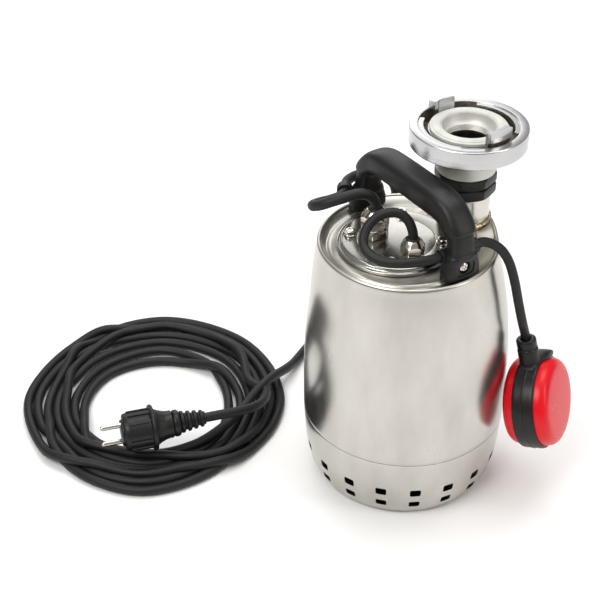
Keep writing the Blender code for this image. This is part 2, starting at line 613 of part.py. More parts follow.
def handle(mats):
    """U-shaped grip lofted through rounded sections."""
    along = Vector((math.cos(HANDLE_AZ), math.sin(HANDLE_AZ), 0.0))
    across = Vector((-math.sin(HANDLE_AZ), math.cos(HANDLE_AZ), 0.0))
    count = 12
    bm = bmesh.new()
    rings = []
    for u, z, tilt, half, width in handle_stations():
        angle = math.radians(tilt)
        normal = along * math.sin(angle) - UP * math.cos(angle)
        centre = along * u + UP * z
        ring = []
        for i in range(count):
            a = 2 * math.pi * (i + 0.5) / count
            c = math.copysign(abs(math.cos(a)) ** 0.62, math.cos(a))
            s = math.copysign(abs(math.sin(a)) ** 0.62, math.sin(a))
            ring.append(bm.verts.new(centre + normal * half * c + across * width * s))
        rings.append(ring)
    for a, b in zip(rings, rings[1:]):
        for i in range(count):
            j = (i + 1) % count
            bm.faces.new((a[i], a[j], b[j], b[i]))
    bm.faces.new(rings[0])
    bm.faces.new(rings[-1])
    grip = finish("handle", bm, mats["black"], 50.0)
    cutters = []
    for side in (1, -1):
        place = foot_place(side)
        cutters.append(box("slot", (0.0030, 0.0190, 0.0160), mats["black"],
                           place @ Matrix.Translation((0, 0, -0.0035))))
        cutters.append(disc("screw_hole", 0.0025, 0.0, 0.0200, mats["black"], segments=8,
                            matrix=place @ along_x(-0.0018)))
        cutters.append(disc("recess", 0.0052, 0.0, 0.0100, mats["black"], segments=12,
                            matrix=place @ along_x(0.0054)))
    path = CLAMP_OUT - CLAMP_IN
    channel = frame_at(CLAMP_IN - path * 0.3, path.normalized())
    cutters.append(disc("channel", 0.0066, 0.0, path.length * 1.6, mats["black"], segments=12,
                        matrix=channel))
    combine(grip, cutters, "DIFFERENCE")
    grip.data.set_sharp_from_angle(angle=math.radians(50))


def handle_screws(mats):
    """Cross-head screws that hold the handle's feet to the lugs."""
    for label, side in (("front", 1), ("rear", -1)):
        place = foot_place(side) @ along_x(-0.0012)
        profile = [(0.0, 0.0), (0.0019, 0.0), (0.0019, 0.0068), (0.0047, 0.0070),
                   (0.0047, 0.0083), (0.0036, 0.0094), (0.0, 0.0098)]
        screw = lathe("handle_screw_" + label, profile, mats["nickel"], 12, closed=False,
                      matrix=place)
        cross = [box("cross", (0.0044, 0.0009, 0.0030), mats["nickel"],
                     place @ Matrix.Translation((0, 0, 0.0096)) @ Matrix.Rotation(turn, 4, "Z"))
                 for turn in (0.6, 0.6 + math.pi / 2)]
        combine(screw, cross, "DIFFERENCE")


def cable_holders(mats):
    """Sleeve clamped in the front foot for the float lead, and the eyelet for the mains lead."""
    path = CLAMP_OUT - CLAMP_IN
    bore = FLOAT_LEAD_R + 0.0004
    profile = [(bore, 0.0), (0.0063, 0.0), (0.0063, path.length), (bore, path.length)]
    lathe("cable_clamp", profile, mats["black"], 14,
          matrix=frame_at(CLAMP_IN, path.normalized()))
    eye = Vector((-0.0550, 0.0440, 0.2614))
    profile = ring_profile(MAINS_R + 0.0006, 0.0068, -0.0040, 0.0040)
    lathe("cable_eyelet", profile, mats["black"], 14,
          matrix=frame_at(eye, Vector((0.02, 1.0, -0.03)).normalized()))


# ---------------------------------------------------------------- float switch
def float_up():
    """Direction from the float's centre to its cable sleeve."""
    return (UP - FLOAT_AXIS * UP.dot(FLOAT_AXIS)).normalized()


def float_switch(mats):
    outer = [(0.0386, GAP), (0.0386, 0.0130), (0.0360, 0.0182), (0.0300, 0.0208),
             (0.0, FLOAT_HALF + 0.0004)]
    inner = [(0.0, FLOAT_HALF - 0.0016), (0.0290, 0.0188), (0.0360, 0.0125), (0.0364, GAP)]
    for label, axis in (("outer", FLOAT_AXIS), ("inner", -FLOAT_AXIS)):
        lathe("float_shell_" + label, inner + outer, mats["red"], 24,
              matrix=frame_at(FLOAT_C, axis), closed=False)
    band = ring_profile(0.0391, FLOAT_R, -BAND_HALF, BAND_HALF)
    lathe("float_band", band, mats["black"], 24, matrix=frame_at(FLOAT_C, FLOAT_AXIS))
    up = float_up()
    bore = FLOAT_LEAD_R + 0.0004
    sleeve = [(bore, 0.0418), (0.0092, 0.0418), (0.0086, 0.0525), (0.0074, 0.0655),
              (bore, 0.0655)]
    lathe("float_sleeve", sleeve, mats["black"], 14, matrix=frame_at(FLOAT_C, up))
    tube_wall = ring_profile(0.0068, 0.0085, -0.0260, 0.0015)
    unit = lathe("float_switch_unit", tube_wall, mats["white"], 14, matrix=frame_at(FLOAT_C, up))
    place = frame_at(FLOAT_C + up * 0.0080, up)
    switch = box("microswitch", (0.0200, 0.0120, 0.0140), mats["white"], place)
    combine(unit, [switch], "UNION")
    bm = bmesh.new()
    bmesh.ops.create_uvsphere(bm, u_segments=10, v_segments=7, radius=0.0062,
                              matrix=Matrix.Translation(FLOAT_C - up * 0.0195))
    finish("float_ball", bm, mats["steel"], 180.0)


def float_cords(mats):
    """Lead from the gland round one loop into the clamp, and the free stretch to the float."""
    g = FLOAT_GLAND
    route = [(g[0], g[1], 0.2560), (g[0], g[1], 0.2620), (-0.0030, -0.0335, 0.2690),
             (-0.0060, -0.0300, 0.2760), (-0.0125, -0.0272, 0.2808), (-0.0210, -0.0268, 0.2820),
             (-0.0300, -0.0282, 0.2795), (-0.0376, -0.0322, 0.2740), (-0.0420, -0.0386, 0.2674),
             (-0.0420, -0.0460, 0.2620), (-0.0372, -0.0532, 0.2584), (-0.0290, -0.0588, 0.2570),
             (-0.0190, -0.0618, 0.2566), (-0.0080, -0.0622, 0.2568), (0.0030, -0.0602, 0.2571),
             (0.0110, -0.0578, 0.2573), CLAMP_IN, (CLAMP_IN + CLAMP_OUT) / 2, CLAMP_OUT]
    tube("float_lead", smooth_route(route, 0.0080), FLOAT_LEAD_R, mats["cable"])
    up = float_up()
    leave = (CLAMP_OUT - CLAMP_IN).normalized()
    route = [CLAMP_OUT + leave * GAP, CLAMP_OUT + leave * 0.0060, (0.0620, -0.0334, 0.2566),
             (0.0710, -0.0318, 0.2490),
             (0.0785, -0.0312, 0.2360), (0.0845, -0.0310, 0.2170), (0.0895, -0.0302, 0.1960),
             (0.0945, -0.0290, 0.1760), FLOAT_C + up * 0.0700, FLOAT_C + up * 0.0550,
             FLOAT_C + up * 0.0440]
    points = [route[0]] + smooth_route(route[1:], 0.0120)
    tube("float_cable", points, FLOAT_LEAD_R, mats["cable"])


# ---------------------------------------------------------------- mains lead
def mains_lead(mats):
    g = MAINS_GLAND
    route = [(g[0], g[1], 0.2600), (g[0], g[1], 0.2690), (-0.0322, -0.0012, 0.2765),
             (-0.0370, -0.0025, 0.2832), (-0.0455, -0.0048, 0.2858), (-0.0560, -0.0078, 0.2848),
             (-0.0670, -0.0098, 0.2818), (-0.0765, -0.0078, 0.2774), (-0.0822, -0.0005, 0.2722),
             (-0.0815, 0.0090, 0.2678), (-0.0755, 0.0175, 0.2648), (-0.0670, 0.0245, 0.2630),
             (-0.0590, 0.0320, 0.2620), (-0.0548, 0.0405, 0.2615), (-0.0548, 0.0500, 0.2612),
             (-0.0515, 0.0610, 0.2610), (-0.0425, 0.0705, 0.2605), (-0.0300, 0.0775, 0.2590),
             (-0.0180, 0.0825, 0.2535), (-0.0105, 0.0862, 0.2430), (-0.0070, 0.0892, 0.2280),
             (-0.0060, 0.0925, 0.2050), (-0.0065, 0.0975, 0.1650), (-0.0080, 0.1025, 0.1150),
             (-0.0100, 0.1085, 0.0650), (-0.0120, 0.1180, 0.0270), (-0.0140, 0.1330, 0.0090),
             (-0.0180, 0.1520, 0.0050), (-0.0290, 0.1720, 0.0050), (-0.0480, 0.1840, 0.0050),
             (-0.0685, 0.1790, 0.0050), (-0.0830, 0.1640, 0.0050), (-0.0920, 0.1470, 0.0050),
             (-0.0990, 0.1300, 0.0050), (-0.1082, 0.1160, 0.0050)]
    tube("mains_cable", smooth_route(route, 0.0145), MAINS_R, mats["cable"])
    rim = 0.0040
    inner, outer = COIL_R
    profile = [(inner + rim, 0.0), (outer - rim, 0.0), (outer, rim), (outer, COIL_H - rim),
               (outer - rim, COIL_H), (inner + rim, COIL_H), (inner, COIL_H - rim), (inner, rim)]
    oval = Matrix.Translation(COIL_C) @ Matrix.Scale(COIL_OVAL, 4, (1, 0, 0))
    lathe("mains_coil", profile, mats["cable"], 24, matrix=oval)
    end = PLUG_FACE + PLUG_DIR * (0.0780 + GAP)
    route = [end, end + PLUG_DIR * 0.0120, (-0.1560, 0.0135, 0.0385), (-0.1440, 0.0205, 0.0335),
             (-0.1350, 0.0310, 0.0275), (-0.1300, 0.0430, 0.0238), (-0.1285, 0.0560, 0.0230)]
    tube("plug_lead", smooth_route(route, 0.0120), MAINS_R, mats["cable"])


def plug(mats):
    """Two-pin plug: moulded body with a flange, pins in their carrier, ribbed strain relief."""
    place = frame_at(PLUG_FACE, PLUG_DIR)
    body = [(0.0, 0.0030), (0.0125, 0.0030), (0.0125, 0.0), (0.0185, 0.0), (0.0185, 0.0262),
            (0.0213, 0.0272), (0.0213, 0.0303), (0.0165, 0.0330), (0.0120, 0.0410),
            (0.0112, 0.0470), (0.0, 0.0470)]
    lathe("plug_body", body, mats["black"], 18, matrix=place, closed=False)
    relief = [(0.0, 0.0470 + GAP), (0.0100, 0.0470 + GAP)]
    for i in range(4):
        start = 0.0530 + 0.0062 * i
        wide = 0.0104 - 0.0005 * i
        relief += [(wide - 0.0028, start), (wide, start + 0.0006), (wide, start + 0.0038)]
    relief += [(0.0062, 0.0780), (0.0, 0.0780)]
    lathe("plug_strain_relief", relief, mats["black"], 14, matrix=place, closed=False)
    carrier = disc("plug_pins", 0.0122, -0.0002, 0.0027, mats["nickel"], segments=16, matrix=place)
    pin = [(0.0, 0.0010), (PIN_R, 0.0010), (PIN_R, -0.0175), (0.0015, -0.0190), (0.0, -0.0190)]
    pins = []
    for side in (1, -1):
        spot = PLUG_FACE + UP * side * PIN_HALF_PITCH
        pins.append(lathe("pin", pin, mats["nickel"], 10, closed=False,
                          matrix=frame_at(spot, PLUG_DIR)))
    combine(carrier, pins, "UNION")


# ---------------------------------------------------------------- build
def clear_scene():
    for obj in list(bpy.data.objects):
        bpy.data.objects.remove(obj)


def hang_on(point, names):
    """Move the named objects' origins to a point on their joint's axis."""
    for name in names:
        obj = bpy.data.objects[name]
        obj.data.transform(Matrix.Translation(-Vector(point)))
        obj.location = point


def set_origins():
    shaft = (MOTOR[0], MOTOR[1], LOWER_BEARING_Z)
    hang_on(shaft, ["motor_shaft", "rotor_core", "impeller", "impeller_nut", "shaft_seal_head",
                    "shaft_seal_spring", "lower_bearing_inner_ring", "upper_bearing_inner_ring",
                    "lower_bearing_cage", "upper_bearing_cage"])
    hang_on((*DISCHARGE, 0.2533), ["check_valve_disc"])
    hang_on(CLAMP_OUT, ["float_shell_outer", "float_shell_inner", "float_band", "float_sleeve",
                        "float_switch_unit", "float_cable"])
    hang_on(FLOAT_C - float_up() * 0.0195, ["float_ball"])


def main():
    clear_scene()
    mats = make_materials()
    outer_jacket(mats)
    strainer(mats)
    pump_housing(mats)
    motor_housing(mats)
    motor_cover(mats)
    cover_seal(mats)
    cover_bolts(mats)
    stator(mats)
    capacitor(mats)
    bearing_brackets(mats)
    ball_bearing(mats, "lower_bearing", LOWER_BEARING_Z)
    ball_bearing(mats, "upper_bearing", UPPER_BEARING_Z)
    rotor(mats)
    shaft_seal(mats)
    impeller(mats)
    cable_glands(mats)
    discharge_socket(mats)
    check_valve(mats)
    discharge_adapter(mats)
    hose_coupling(mats)
    handle(mats)
    handle_screws(mats)
    cable_holders(mats)
    float_switch(mats)
    float_cords(mats)
    mains_lead(mats)
    plug(mats)
    set_origins()


main()
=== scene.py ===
"""Looks of the submersible sump pump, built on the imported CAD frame.  Metres, +Z up; the
origin is on the barrel's axis at the floor, and +Y points to the pump's rear."""
import math

import bmesh
import bpy
import numpy as np
from mathutils import Matrix, Vector


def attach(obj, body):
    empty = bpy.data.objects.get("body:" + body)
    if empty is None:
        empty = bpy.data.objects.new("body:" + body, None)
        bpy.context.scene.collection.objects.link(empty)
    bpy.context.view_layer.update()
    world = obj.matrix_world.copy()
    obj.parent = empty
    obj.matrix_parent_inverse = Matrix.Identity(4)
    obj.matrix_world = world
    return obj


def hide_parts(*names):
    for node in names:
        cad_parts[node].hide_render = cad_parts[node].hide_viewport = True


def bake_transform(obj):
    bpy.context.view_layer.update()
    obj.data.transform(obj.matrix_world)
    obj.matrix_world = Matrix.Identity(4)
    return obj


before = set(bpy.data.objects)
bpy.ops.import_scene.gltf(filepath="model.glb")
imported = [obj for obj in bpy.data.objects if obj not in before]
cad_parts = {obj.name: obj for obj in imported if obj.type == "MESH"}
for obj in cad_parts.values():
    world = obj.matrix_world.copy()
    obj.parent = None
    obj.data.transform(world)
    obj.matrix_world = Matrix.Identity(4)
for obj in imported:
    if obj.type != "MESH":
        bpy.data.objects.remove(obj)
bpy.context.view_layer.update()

# ---------------------------------------------------------------- driving dimensions
UP = Vector((0.0, 0.0, 1.0))
SHEET = 0.0012                      # thickness of the strainer's floor
RIM_SHIFT = (-0.0030, -0.0020)      # the rim leans away from the discharge
STEP_CENTRE = (-0.0080, -0.0080)    # centre of the pressed step in the deck
SEAT_RISE = 0.0075                  # height by which the deck is drawn up at the discharge
WELD_Z = 0.2402                     # weld bead, before that rise

HOLES_ROUND = 18
HOLE_AZ = -85.1                     # first hole of each row, in degrees
HOLE_ROWS = ((0.0163, 0.0072), (0.0317, 0.0080))    # height of each row's centre, hole height
HOLE_W = 0.0096

MOTOR = (-0.0135, -0.0085)          # axis of the motor and its cover
COVER_Z = 0.2455
BOLT_CIRCLE = 0.0385
BOLT_AZ = (170.0, 80.0, -10.0, -100.0)      # degrees

DISCHARGE = (0.0445, 0.0270)        # axis of the socket and the hose coupling
SOCKET_R = 0.0223
SOCKET_TOP = 0.2730
ADAPTER_TOP = 0.2825
NECK_TOP = 0.2835
NUT_TOP = 0.2925
GAP = 0.0003                        # left between two pieces that are screwed together
COLLAR_R = 0.0262                   # octagonal collars, across corners
COLLAR_TURN = math.radians(-102.9)
COUPLING_R = 0.0490
COUPLING_Z = 0.3330                 # top face of the ring
LUG_AZ = math.radians(-57.0)        # direction of the front claw
RAIL_AZ = math.radians(27.5)        # middle of the rear clamping rail
RAIL_HALF = math.radians(47.5)

FLOAT_GLAND = (-0.0020, -0.0350)
MAINS_GLAND = (-0.0310, -0.0010)
FLOAT_LEAD_R = 0.0040
MAINS_R = 0.0045

HANDLE_AZ = math.radians(-57.0)
GRIP_Z = 0.2943                     # middle of the grip at its highest
SCREW_Z = 0.2500
EYELET = Vector((-0.0550, 0.0440, 0.2614))

FLOAT_C = Vector((0.1155, -0.0305, 0.0905))
FLOAT_AXIS = Vector((0.879, -0.406, 0.253)).normalized()
FLOAT_UP = (UP - FLOAT_AXIS * UP.dot(FLOAT_AXIS)).normalized()
FLOAT_R = 0.0415                    # over the band
FLOAT_TOP = 0.0214                  # each shell's face, from the middle of the float
BAND_HALF = 0.0095
CLAMP_IN = Vector((0.0180, -0.0548, 0.2575))    # the float lead's ends in its clamp
CLAMP_OUT = Vector((0.0490, -0.0380, 0.2590))
CLAMP_DIR = (CLAMP_OUT - CLAMP_IN).normalized()
CLAMP_LENGTH = (CLAMP_OUT - CLAMP_IN).length

COIL_INNER = ((-0.2330, 0.0650), 0.0715)    # innermost turn: centre, radius of the cord's line
COIL_OUTER = ((-0.2350, 0.0757), 0.1190)    # outermost turn
PLUG_FACE = Vector((-0.2553, -0.0161, 0.0402))
PLUG_DIR = Vector((0.959, 0.283, 0.0)).normalized()
RIBS = 12                           # round the plug's body
PIN_R = 0.0024
PIN_HALF_PITCH = 0.0095
RELIEF_END = 0.0780                 # end of the plug's strain relief, from the plug's face


# ---------------------------------------------------------------- camera
def camera():
    data = bpy.data.cameras.new("camera")
    data.sensor_width = 36.0
    data.lens = 83.16
    data.clip_start = 0.01
    obj = bpy.data.objects.new("camera", data)
    bpy.context.scene.collection.objects.link(obj)
    obj.location = (-0.0931, -0.9748, 0.8666)
    target = Vector((obj.location.x, 0.0, 0.1771))
    obj.rotation_euler = (target - obj.location).to_track_quat("-Z", "Y").to_euler()
    bpy.context.scene.camera = obj
    bpy.context.scene.view_settings.view_transform = "Standard"


# ---------------------------------------------------------------- node helpers
class Graph:
    """Short calls for building the nodes of a material or of the world."""

    def __init__(self, owner, shader):
        owner.use_nodes = True
        self.mat = owner
        self.tree = owner.node_tree
        self.shader = self.tree.nodes[shader]

    def set(self, socket, value):
        self.shader.inputs[socket].default_value = value

    def node(self, kind, **values):
        made = self.tree.nodes.new(kind)
        for key, value in values.items():
            setattr(made, key, value)
        return made

    def link(self, source, target):
        self.tree.links.new(source, target)

    def place(self, scale=(1, 1, 1), centre=(0, 0, 0)):
        """Object coordinates about a centre, scaled."""
        coords = self.node("ShaderNodeTexCoord")
        moved = self.node("ShaderNodeVectorMath", operation="SUBTRACT")
        moved.inputs[1].default_value = centre
        scaled = self.node("ShaderNodeVectorMath", operation="MULTIPLY")
        scaled.inputs[1].default_value = scale
        self.link(coords.outputs["Object"], moved.inputs[0])
        self.link(moved.outputs[0], scaled.inputs[0])
        return scaled.outputs[0]

    def round_place(self, centre, across, along):
        """(distance from a vertical axis, height), each scaled: lines turned about that axis."""
        split = self.node("ShaderNodeSeparateXYZ")
        self.link(self.place((1, 1, 1), centre), split.inputs[0])
        flat = self.node("ShaderNodeCombineXYZ")
        self.link(split.outputs["X"], flat.inputs["X"])
        self.link(split.outputs["Y"], flat.inputs["Y"])
        length = self.node("ShaderNodeVectorMath", operation="LENGTH")
        self.link(flat.outputs[0], length.inputs[0])
        joined = self.node("ShaderNodeCombineXYZ")
        self.link(self.maths("MULTIPLY", length.outputs["Value"], across), joined.inputs["X"])
        self.link(self.maths("MULTIPLY", split.outputs["Z"], along), joined.inputs["Z"])
        return joined.outputs[0]

    def maths(self, operation, a, b):
        made = self.node("ShaderNodeMath", operation=operation)
        for socket, value in zip(made.inputs, (a, b)):
            if isinstance(value, (int, float)):
                socket.default_value = value
            else:
                self.link(value, socket)
        return made.outputs[0]

    def noise(self, vector, scale=1.0, detail=3.0, rough=0.5):
        made = self.node("ShaderNodeTexNoise")
        made.inputs["Scale"].default_value = scale
        made.inputs["Detail"].default_value = detail
        made.inputs["Roughness"].default_value = rough
        self.link(vector, made.inputs["Vector"])
        return made.outputs["Fac"]

    def ramp(self, factor, stops):
        made = self.node("ShaderNodeValToRGB")
        marks = made.color_ramp.elements
        while len(marks) < len(stops):
            marks.new(0.5)
        for mark, (place, colour) in zip(marks, stops):
            mark.position = place
            mark.color = (*colour, 1.0)
        self.link(factor, made.inputs["Fac"])
        return made.outputs["Color"]

    def remap(self, factor, low, high, source=(0.3, 0.7)):
        made = self.node("ShaderNodeMapRange")
        made.inputs["From Min"].default_value = source[0]
        made.inputs["From Max"].default_value = source[1]
        made.inputs["To Min"].default_value = low
        made.inputs["To Max"].default_value = high
        self.link(factor, made.inputs["Value"])
        return made.outputs["Result"]

    def bump(self, height, strength, distance):
        made = self.node("ShaderNodeBump")
        made.inputs["Strength"].default_value = strength
        made.inputs["Distance"].default_value = distance
        self.link(height, made.inputs["Height"])
        self.link(made.outputs["Normal"], self.shader.inputs["Normal"])

    def vary_roughness(self, factor, low, high):
        self.link(self.remap(factor, low, high), self.shader.inputs["Roughness"])

    def vary_colour(self, factor, dark, light):
        stops = [(0.3, dark), (0.7, light)]
        self.link(self.ramp(factor, stops), self.shader.inputs["Base Color"])

    def patches(self, scale, detail, rough_range, tones=None, rough=0.5):
        """Cloudy variation of the roughness and, given two tones, of the colour."""
        clouds = self.noise(self.place(), scale, detail, rough)
        self.vary_roughness(clouds, *rough_range)
        if tones:
            self.vary_colour(clouds, *tones)

    def grain(self, scale, strength, distance=0.0001, detail=2.0, rough=0.5):
        """Fine relief."""
        self.bump(self.noise(self.place(), scale, detail, rough), strength, distance)


# ---------------------------------------------------------------- materials
def surface(name, colour, roughness, metallic=0.0):
    g = Graph(bpy.data.materials.new(name), "Principled BSDF")
    g.set("Base Color", (*colour, 1.0))
    g.set("Roughness", roughness)
    g.set("Metallic", metallic)
    return g


def brushed_stainless():
    """Satin sheet brushed round the barrel, with faint cloudy patches."""
    g = surface("brushed_stainless_looks", (0.62, 0.61, 0.58), 0.30, 1.0)
    g.set("Anisotropic", 0.50)
    tangent = g.node("ShaderNodeTangent", direction_type="RADIAL", axis="Z")
    g.link(tangent.outputs[0], g.shader.inputs["Tangent"])
    clouds = g.noise(g.place((1, 1, 0.35)), 30.0, 5.0, 0.62)
    g.vary_roughness(clouds, 0.20, 0.28)
    g.vary_colour(clouds, (0.48, 0.463, 0.428), (0.60, 0.585, 0.55))
    return g.mat


def deck_stainless():
    """Half-polished deck sheet."""
    g = surface("deck_stainless_looks", (0.55, 0.53, 0.49), 0.30, 1.0)
    g.patches(30.0, 4.0, (0.31, 0.40), ((0.44, 0.42, 0.375), (0.53, 0.51, 0.47)), 0.6)
    g.bump(g.noise(g.round_place((*RIM_SHIFT, 0.0), 900, 900)), 0.05, 0.00003)
    return g.mat


def polished_stainless():
    """Mirror-bright turned cover."""
    g = surface("polished_stainless_looks", (0.40, 0.39, 0.365), 0.18, 1.0)
    g.patches(60.0, 5.0, (0.15, 0.22), rough=0.65)
    g.bump(g.noise(g.round_place((*MOTOR, 0.0), 1400, 1400)), 0.04, 0.00002)
    return g.mat


def weld_steel():
    """Heat-tinted steel by the weld: straw and brown, fading with height."""
    g = surface("weld_steel_looks", (0.55, 0.42, 0.26), 0.25, 1.0)
    split = g.node("ShaderNodeSeparateXYZ")
    g.link(g.place(), split.inputs[0])
    wander = g.maths("MULTIPLY", g.noise(g.place(), 90.0, 3.0), 0.003)
    height = g.maths("ADD", split.outputs["Z"], wander)
    share = g.remap(height, 0.0, 1.0, (0.2440, 0.2560))
    stops = [(0.0, (0.23, 0.13, 0.06)), (0.22, (0.42, 0.27, 0.12)), (0.40, (0.60, 0.50, 0.34)),
             (0.75, (0.62, 0.60, 0.56))]
    g.link(g.ramp(share, stops), g.shader.inputs["Base Color"])
    g.bump(g.noise(g.place((1, 1, 2)), 700.0, 2.0), 0.25, 0.0001)
    return g.mat


def nickel():
    g = surface("nickel_looks", (0.60, 0.56, 0.50), 0.14, 1.0)
    g.patches(240.0, 4.0, (0.09, 0.19))
    g.grain(900.0, 0.03, 0.00005)
    return g.mat


def turned_aluminium():
    """Aluminium with fine lathe lines about the coupling's axis."""
    g = surface("turned_aluminium_looks", (0.56, 0.56, 0.57), 0.24, 1.0)
    lines = g.noise(g.round_place((*DISCHARGE, 0.0), 2600, 2600), 1.0, 2.0)
    g.vary_roughness(lines, 0.19, 0.32)
    g.bump(lines, 0.07, 0.00004)
    return g.mat


def cast_aluminium():
    g = surface("cast_aluminium_looks", (0.62, 0.61, 0.58), 0.48, 0.55)
    g.patches(1400.0, 3.0, (0.42, 0.56), rough=0.6)
    g.grain(1400.0, 0.25, detail=3.0, rough=0.6)
    return g.mat


def recess_shade_aluminium():
    """Unmachined cast floor of the coupling's recess, dull; its dark brownish colour is painted
    shade of the recess.
    """
    g = surface("recess_shade_aluminium_looks", (0.30, 0.27, 0.23), 0.50, 1.0)
    g.patches(260.0, 4.0, (0.42, 0.60), ((0.20, 0.17, 0.14), (0.42, 0.38, 0.33)))
    g.grain(1200.0, 0.20)
    return g.mat


def moulded(name, grey, roughness, scale, strength):
    """Grey, black or white plastic or rubber with a fine grain."""
    g = surface(name, (grey, grey, grey * 1.04), roughness)
    g.set("Specular IOR Level", 0.33)
    tones = (grey * 0.85,) * 3, (grey * 1.2, grey * 1.2, grey * 1.25)
    g.patches(45.0, 3.0, (roughness - 0.05, roughness + 0.06), tones)
    g.grain(scale, strength, detail=3.0, rough=0.55)
    return g.mat


def red_plastic():
    """Glossy moulded shell with faint flow marks."""
    g = surface("red_shell_looks", (0.70, 0.002, 0.010), 0.30)
    g.set("Specular IOR Level", 0.32)
    g.patches(55.0, 4.0, (0.27, 0.33), ((0.64, 0.002, 0.008), (0.74, 0.003, 0.012)))
    return g.mat


def gasket_rubber():
    g = surface("gasket_looks", (0.74, 0.76, 0.69), 0.48)
    g.patches(120.0, 4.0, (0.40, 0.55), ((0.50, 0.51, 0.47), (0.60, 0.61, 0.57)))
    g.grain(900.0, 0.10)
    return g.mat


def plain_metal(name, colour, roughness, scale):
    g = surface(name, colour, roughness, 1.0)
    g.patches(scale, 4.0, (roughness * 0.8, roughness * 1.25))
    g.grain(scale, 0.08, detail=4.0)
    return g.mat


def laminations():
    """Stacked sheets: fine level lines up the core."""
    g = surface("lamination_looks", (0.26, 0.26, 0.27), 0.42, 1.0)
    lines = g.noise(g.place((2, 2, 1600)), 1.0, 1.0)
    g.bump(lines, 0.5, 0.0001)
    g.vary_roughness(lines, 0.35, 0.55)
    return g.mat


def windings():
    """Enamelled wire wound round the bore."""
    g = surface("winding_looks", (0.55, 0.20, 0.07), 0.32, 1.0)
    wires = g.noise(g.round_place((*MOTOR, 0.0), 1300, 1300), 1.0, 1.0)
    g.bump(wires, 0.7, 0.0003)
    g.vary_colour(wires, (0.40, 0.13, 0.04), (0.62, 0.26, 0.10))
    return g.mat


# each look's slot in the CAD, and its material
LOOKS = {
    "brushed": ("brushed_stainless", brushed_stainless()),
    "deck": ("brushed_stainless", deck_stainless()),
    "polished": ("polished_stainless", polished_stainless()),
    "weld": ("brushed_stainless", weld_steel()),
    "nickel": ("nickel_brass", nickel()),
    "turned": ("cast_aluminium", turned_aluminium()),
    "cast": ("cast_aluminium", cast_aluminium()),
    # the recess look's dark brownish colour is painted shade
    "recess": ("cast_aluminium", recess_shade_aluminium()),
    "handle": ("black_plastic", moulded("handle_looks", 0.007, 0.42, 1500.0, 0.12)),
    "black": ("black_plastic", moulded("black_plastic_looks", 0.007, 0.38, 1200.0, 0.10)),
    "cable": ("black_rubber_cable", moulded("cable_looks", 0.009, 0.50, 900.0, 0.12)),
    "red": ("red_float_plastic", red_plastic()),
    "gasket": ("offwhite_gasket", gasket_rubber()),
    "seal": ("seal_rubber", moulded("seal_rubber_looks", 0.025, 0.60, 800.0, 0.20)),
    "steel": ("bearing_steel", plain_metal("ground_steel_looks", (0.55, 0.55, 0.56), 0.20, 300.0)),
    "iron": ("lamination_steel", laminations()),
    "copper": ("enamelled_copper", windings()),
    "white": ("white_plastic", moulded("white_plastic_looks", 0.60, 0.40, 900.0, 0.08)),
    "graphite": ("seal_graphite", plain_metal("graphite_looks", (0.08,) * 3, 0.40, 500.0)),
    # near-black stainless for the housings inside the barrel: painted shade
    "inner": ("brushed_stainless",
              plain_metal("shaded_inner_stainless_looks", (0.10, 0.095, 0.09), 0.45, 60.0)),
}
MAT = {look: material for look, (slot, material) in LOOKS.items()}
MAT["floor"] = surface("floor_looks", (0.93, 0.93, 0.93), 0.80).mat


# ---------------------------------------------------------------- mesh helpers
def fillet(points, radius, closed=False, steps=4):
    """Round an outline's corners."""
    count = len(points)
    out = []
    for i, here in enumerate(points):
        if not closed and i in (0, count - 1):
            out.append(tuple(here))
            continue
        p = Vector(here)
        before = Vector(points[i - 1]) - p
        after = Vector(points[(i + 1) % count]) - p
        reach = min(radius, before.length * 0.48, after.length * 0.48)
        a = p + before.normalized() * reach
        b = p + after.normalized() * reach
        for k in range(steps + 1):
            t = k / steps
            out.append(tuple(a * (1 - t) ** 2 + p * 2 * t * (1 - t) + b * t * t))
    return out


def curve_through(points, steps=6):
    """Catmull-Rom points through an open list of points or tuples of any size."""
    rows = [np.array(p, float) for p in points]
    rows = [rows[0] * 2 - rows[1]] + rows + [rows[-1] * 2 - rows[-2]]
    out = []
    for i in range(1, len(rows) - 2):
        a, b, c, d = rows[i - 1:i + 3]
        for k in range(steps):
            t = k / steps
            out.append(0.5 * (2 * b + (c - a) * t + (2 * a - 5 * b + 4 * c - d) * t ** 2
                              + (3 * b - a - 3 * c + d) * t ** 3))
    out.append(rows[-2])
    return out


def loft(rings, closed_along=False):
    """Skin through rings that all have the same number of points, capped if it has ends."""
    bm = bmesh.new()
    rows = [[bm.verts.new(p) for p in ring] for ring in rings]
    pairs = list(zip(rows, rows[1:]))
    if closed_along:
        pairs.append((rows[-1], rows[0]))
    for a, b in pairs:
        for i in range(len(a)):
            j = (i + 1) % len(a)
            bm.faces.new((a[i], a[j], b[j], b[i]))
    if not closed_along:
        bm.faces.new(rows[0])
        bm.faces.new(rows[-1])
    bmesh.ops.recalc_face_normals(bm, faces=bm.faces[:])
    return bm


def polygon(sides, radius, turn=0.0):
    step = 2 * math.pi / sides
    return [(radius * math.cos(turn + i * step), radius * math.sin(turn + i * step))
            for i in range(sides)]


def placed(bm, centre, matrix):
    """Move a new shape to a level place, or by a matrix, and turn its faces outwards."""
    if matrix is None:
        matrix = Matrix.Translation((*centre, 0.0))
    bmesh.ops.transform(bm, matrix=matrix, verts=bm.verts[:])
    bmesh.ops.recalc_face_normals(bm, faces=bm.faces[:])
    return bm


